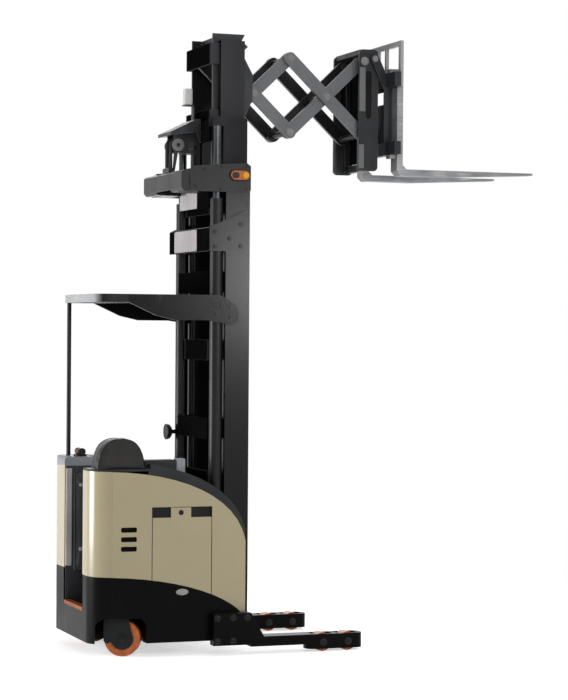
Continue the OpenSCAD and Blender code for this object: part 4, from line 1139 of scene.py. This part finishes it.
# %% Controls
grip_low, grip_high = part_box("control_handle")
grip_x, grip_z = (grip_low.x + grip_high.x) / 2, grip_high.z - 0.024
rocker = rounded((0.222, grip_z - 0.012), (0.262, grip_z + 0.012), 0.006)
slab("lift_rocker", "chassis", "orange_plastic",
     [Vector((grip_x - 0.022, y, z)) for y, z in rocker], (-8, 0, 0), 1.5)
button = [(9, -2), (9, 4), (7.5, 6), (4, 6.8), (0.6, 7)]
turned("thumb_button", "chassis", "blue_plastic", button,
       Vector((grip_x - 0.021, 0.292, grip_z)), REARWARD, 28)
box_piece("hood_box", "chassis", "console_plastic", (-516, -455, 1208), (-452, -385, 1306), 6)
ledge = ((-738, 1262), (-738, 1290), (-728, 1300), (-530, 1300), (-516, 1290), (-516, 1206))
slab("hood_ledge", "chassis", "hood_plastic", sideways(-470, ledge), (0, 95, 0), 6)
tray = [at(x, y, edge("console_cap", Z, HIGH)) for x, y in rounded((-905, 236), (-748, 486), 18)]
slab("console_tray", "chassis", "control_plastic", tray, (0, 0, 5), 1.5)
print("controls fitted")

# %% [markdown]
# ## Axles and fenders
# Load-wheel axles end in round caps on both faces of the legs. The caster's axle is a big bolt through its
# yoke, and a dark fender plate covers the wheel's trailing half on either side. Each rides on the body that
# holds it.

# %% Axles
AXLES = [(665, 63.5), (485, 63.5)]
leg_inner = edge("left_leg", Y, LOW)
inner_seats = [(at(x, side * leg_inner, z), (0, -side, 0)) for side in SIDES for x, z in AXLES]
for name, seats in (("leg_axle_caps", both_sides(AXLES, leg_y)), ("leg_inner_caps", inner_seats)):
    heads_on(name, "chassis", "rim_grey", "dark_bolt", seats, 34, 7, ROUND, 1.5)

YOKE_HALF, FENDER_HALF = 0.073, 0.047
axle, spin = pivot("caster_spin"), Vector(joints["caster_spin"]["axis"]).normalized()
heads_on("caster_axle", "caster", "rim_grey", "dark_bolt",
         [(axle + spin * side * YOKE_HALF, spin * side) for side in SIDES], 36, 12)
swivel = pivot("caster_swivel")
trail = Vector((axle.x - swivel.x, axle.y - swivel.y, 0)).normalized()
fender = ((-122, 104), (-112, 90), (-94, 86), (-70, 96), (-50, 150), (-50, 244), (-122, 244))
for side, name in ((-1, "outer"), (1, "inner")):
    foot = Vector((axle.x, axle.y, 0)) + spin * side * FENDER_HALF
    outline = [foot + trail * x * MM + Vector((0, 0, z * MM)) for x, z in fender]
    slab(name + "_fender", "caster", "gear_coat", outline, spin * side * 6, 1)
CHEEK_Y = 248.4
caps("front_caps", "fork_frame", "carriage_grey", front_top, CHEEK_Y, 46, 6)
caps("tilt_caps", "fork_frame", "carriage_grey", pivot("fork_tilt"), edge("fork_frame", Y, HIGH), 34, 5)
print("axle ends fitted")

# %% [markdown]
# ## Shields in the fork frame
# Near-black sheet-metal shields stand behind the fork frame's front edge and leave a slit in the middle to
# look through; their black also paints the shade inside the frame. The long windows in its cheeks are backed
# by near-black plates, which are painted shade, and grey rubbing strips line the cheeks. All of them ride on
# the frame and stay clear of the links, which fold in behind them. Two dark panels close the fork carriage
# and tilt with the forks.

# %% Shields
frame_front = edge("fork_frame", X, HIGH)
for side, name in SIDE_NAMES:
    inner, outer = sorted((side * 55, side * 229))
    # The shields' near-black also paints the shade inside the frame
    shield = upright(frame_front - 18, rounded((inner, 3350), (outer, 4085), 20))
    slab(name + "_shield", "fork_frame", "guard_coat", shield, (8, 0, 0), 1)
    # Near-black plates behind the cheek windows are painted shade
    window = sideways(side * 233, rounded((908, 3641), (952, 3979), 21))
    slab(name + "_shade_plate", "fork_frame", "guard_coat", window, (0, side * 6, 0), 1)
    for part, low, high in (("upper", (862, 3694), (905, 4000)), ("lower", (860, 3298), (897, 3464))):
        strip = sideways(side * CHEEK_Y, rounded(low, high, 6))
        slab(f"{name}_{part}_strip", "fork_frame", "link_coat", strip, (0, side * 4, 0), 1)
PANEL_X, PANEL_Y = 1052, 252
for part, low, high in (("upper", 3832, 3890), ("lower", 3480, 3748)):
    panel = upright(PANEL_X, ((-PANEL_Y, low), (PANEL_Y, low), (PANEL_Y, high), (-PANEL_Y, high)))
    slab(part + "_carriage_panel", "forks", "guard_coat", panel, (6, 0, 0), 1)
print("shields in the fork frame, front edge at", round(frame_front), "mm")

# %% [markdown]
# ## Floor and studio light
# The truck stands on a plain pale floor in front of white. Large area lamps give it soft shadows: a tall
# one behind it for the bright corner of the covers, a wide one from the camera's side, one high above the
# mast, and weaker ones on the far side and in front, so that no side is left black. A small lamp at the
# side gives the soft highlight along the mast. The floor and the world turn white only where they are
# looked at, so that no extra light reaches the truck.

# %% Stage
WHITE = (1.0, 1.0, 1.0, 1.0)
WORLD_LIGHT, FLOOR_GLOW = 0.16, 0.55
FADE_FROM, FADE_TO = 1.6, 4.5
FLOOR_HALF = 40


def seen_rays(tree):
    """One for a ray that looks at the scene, straight, in a reflection or through glass; zero for light."""
    path = add(tree, "ShaderNodeLightPath").outputs
    mirrored = calc("MAXIMUM", path["Is Camera Ray"], path["Is Glossy Ray"])
    return calc("MAXIMUM", mirrored, path["Is Transmission Ray"])


def glow(tree, strength):
    return add(tree, "ShaderNodeBackground", {"Color": WHITE, "Strength": strength}).outputs[0]


def blend(share, first, second):
    return out("ShaderNodeMixShader", {0: share, 1: first, 2: second})


world = bpy.data.worlds.new("studio")
bpy.context.scene.world = world
world.use_nodes = True
tree = world.node_tree
tree.nodes.clear()
backdrop = blend(seen_rays(tree), glow(tree, WORLD_LIGHT), glow(tree, 1.0))
add(tree, "ShaderNodeOutputWorld", {"Surface": backdrop})

shader, place = new_finish("pale_floor")
tree = place.id_data
mottle = ramp(noise(place, 0.7, 3), (0.3, (248, 248, 248)), (0.7, (252, 252, 252)))
feed(shader, {"Base Color": mottle, "Roughness": 0.9, "Specular IOR Level": 0.1})
away = vector_calc("LENGTH", place, output="Value")
far = out("ShaderNodeMapRange", {"Value": away, "From Min": FADE_FROM, "From Max": FADE_TO},
          interpolation_type="SMOOTHSTEP")
lit = out("ShaderNodeAddShader", {0: shader.outputs[0], 1: glow(tree, FLOOR_GLOW)})
faded = blend(far, lit, glow(tree, 1.0))
feed(tree.nodes["Material Output"], {"Surface": blend(seen_rays(tree), shader.outputs[0], faded)})

floor = new_object("floor", bpy.data.meshes.new("floor"))
bm = bmesh.new()
bmesh.ops.create_grid(bm, x_segments=1, y_segments=1, size=FLOOR_HALF)
bm.to_mesh(floor.data)
bm.free()
floor.data.materials.append(finishes["pale_floor"])
print("stage ready")

# %% Lamps


def softbox(name, spot, target, size, power):
    """A rectangular lamp at a spot, turned to a target, its size in metres and its power in watts."""
    data = bpy.data.lights.new(name, "AREA")
    data.shape = "RECTANGLE"
    data.size, data.size_y = size
    data.energy = power
    lamp = new_object(name, data)
    lamp.location = spot
    lamp.rotation_mode = "QUATERNION"
    lamp.rotation_quaternion = (Vector(target) - Vector(spot)).to_track_quat("-Z", "Y")


# Name, spot, target, size, power
softbox("rear_box", (-7.3, 1.8, 1.5), (-1.2, 0, 1.2), (3.0, 2.7), 400)
softbox("camera_box", (-1.5, -8.5, 5.0), (-0.2, 0, 1.8), (5.0, 4.0), 210)
softbox("side_box", (1.75, -6.0, 2.7), (-0.6, -0.4, 2.6), (0.8, 1.0), 80)
softbox("top_box", (0.6, -1.5, 9.0), (0, 0, 2.5), (5.0, 5.0), 170)
softbox("far_box", (1.5, 6.5, 4.0), (0, 0, 2.2), (4.0, 4.0), 130)
softbox("front_box", (7.5, 1.5, 4.5), (0, 0, 2.2), (3.0, 4.0), 170)

# %% [markdown]
# ## Camera
# The photograph was taken from fifteen metres away with a long lens, from the truck's right and a little
# behind it, at about head height. The numbers come from fitting known points of the truck to the picture,
# in the frame's own metres.

# %% Camera
SPOT = at(-5032.4, -14926.8, 2145.3)
TURN, PITCH, ROLL = math.radians(20.025), math.radians(-0.417), math.radians(0.41)
ahead = Vector((math.sin(TURN) * math.cos(PITCH), math.cos(TURN) * math.cos(PITCH), math.sin(PITCH)))
level = Vector((math.cos(TURN), -math.sin(TURN), 0))
plumb = level.cross(ahead)
right = level * math.cos(ROLL) + plumb * math.sin(ROLL)
up = plumb * math.cos(ROLL) - level * math.sin(ROLL)
lens = bpy.data.cameras.new("camera")
lens.lens, lens.sensor_width, lens.sensor_fit = 116.92, 36.0, "AUTO"
lens.clip_end = 200
camera = new_object("camera", lens)
camera.matrix_world = Matrix.Translation(SPOT) @ Matrix((right, up, -ahead)).transposed().to_4x4()
bpy.context.scene.camera = camera
bpy.context.scene.view_settings.view_transform = "Standard"
print("camera at", [round(value, 3) for value in SPOT])
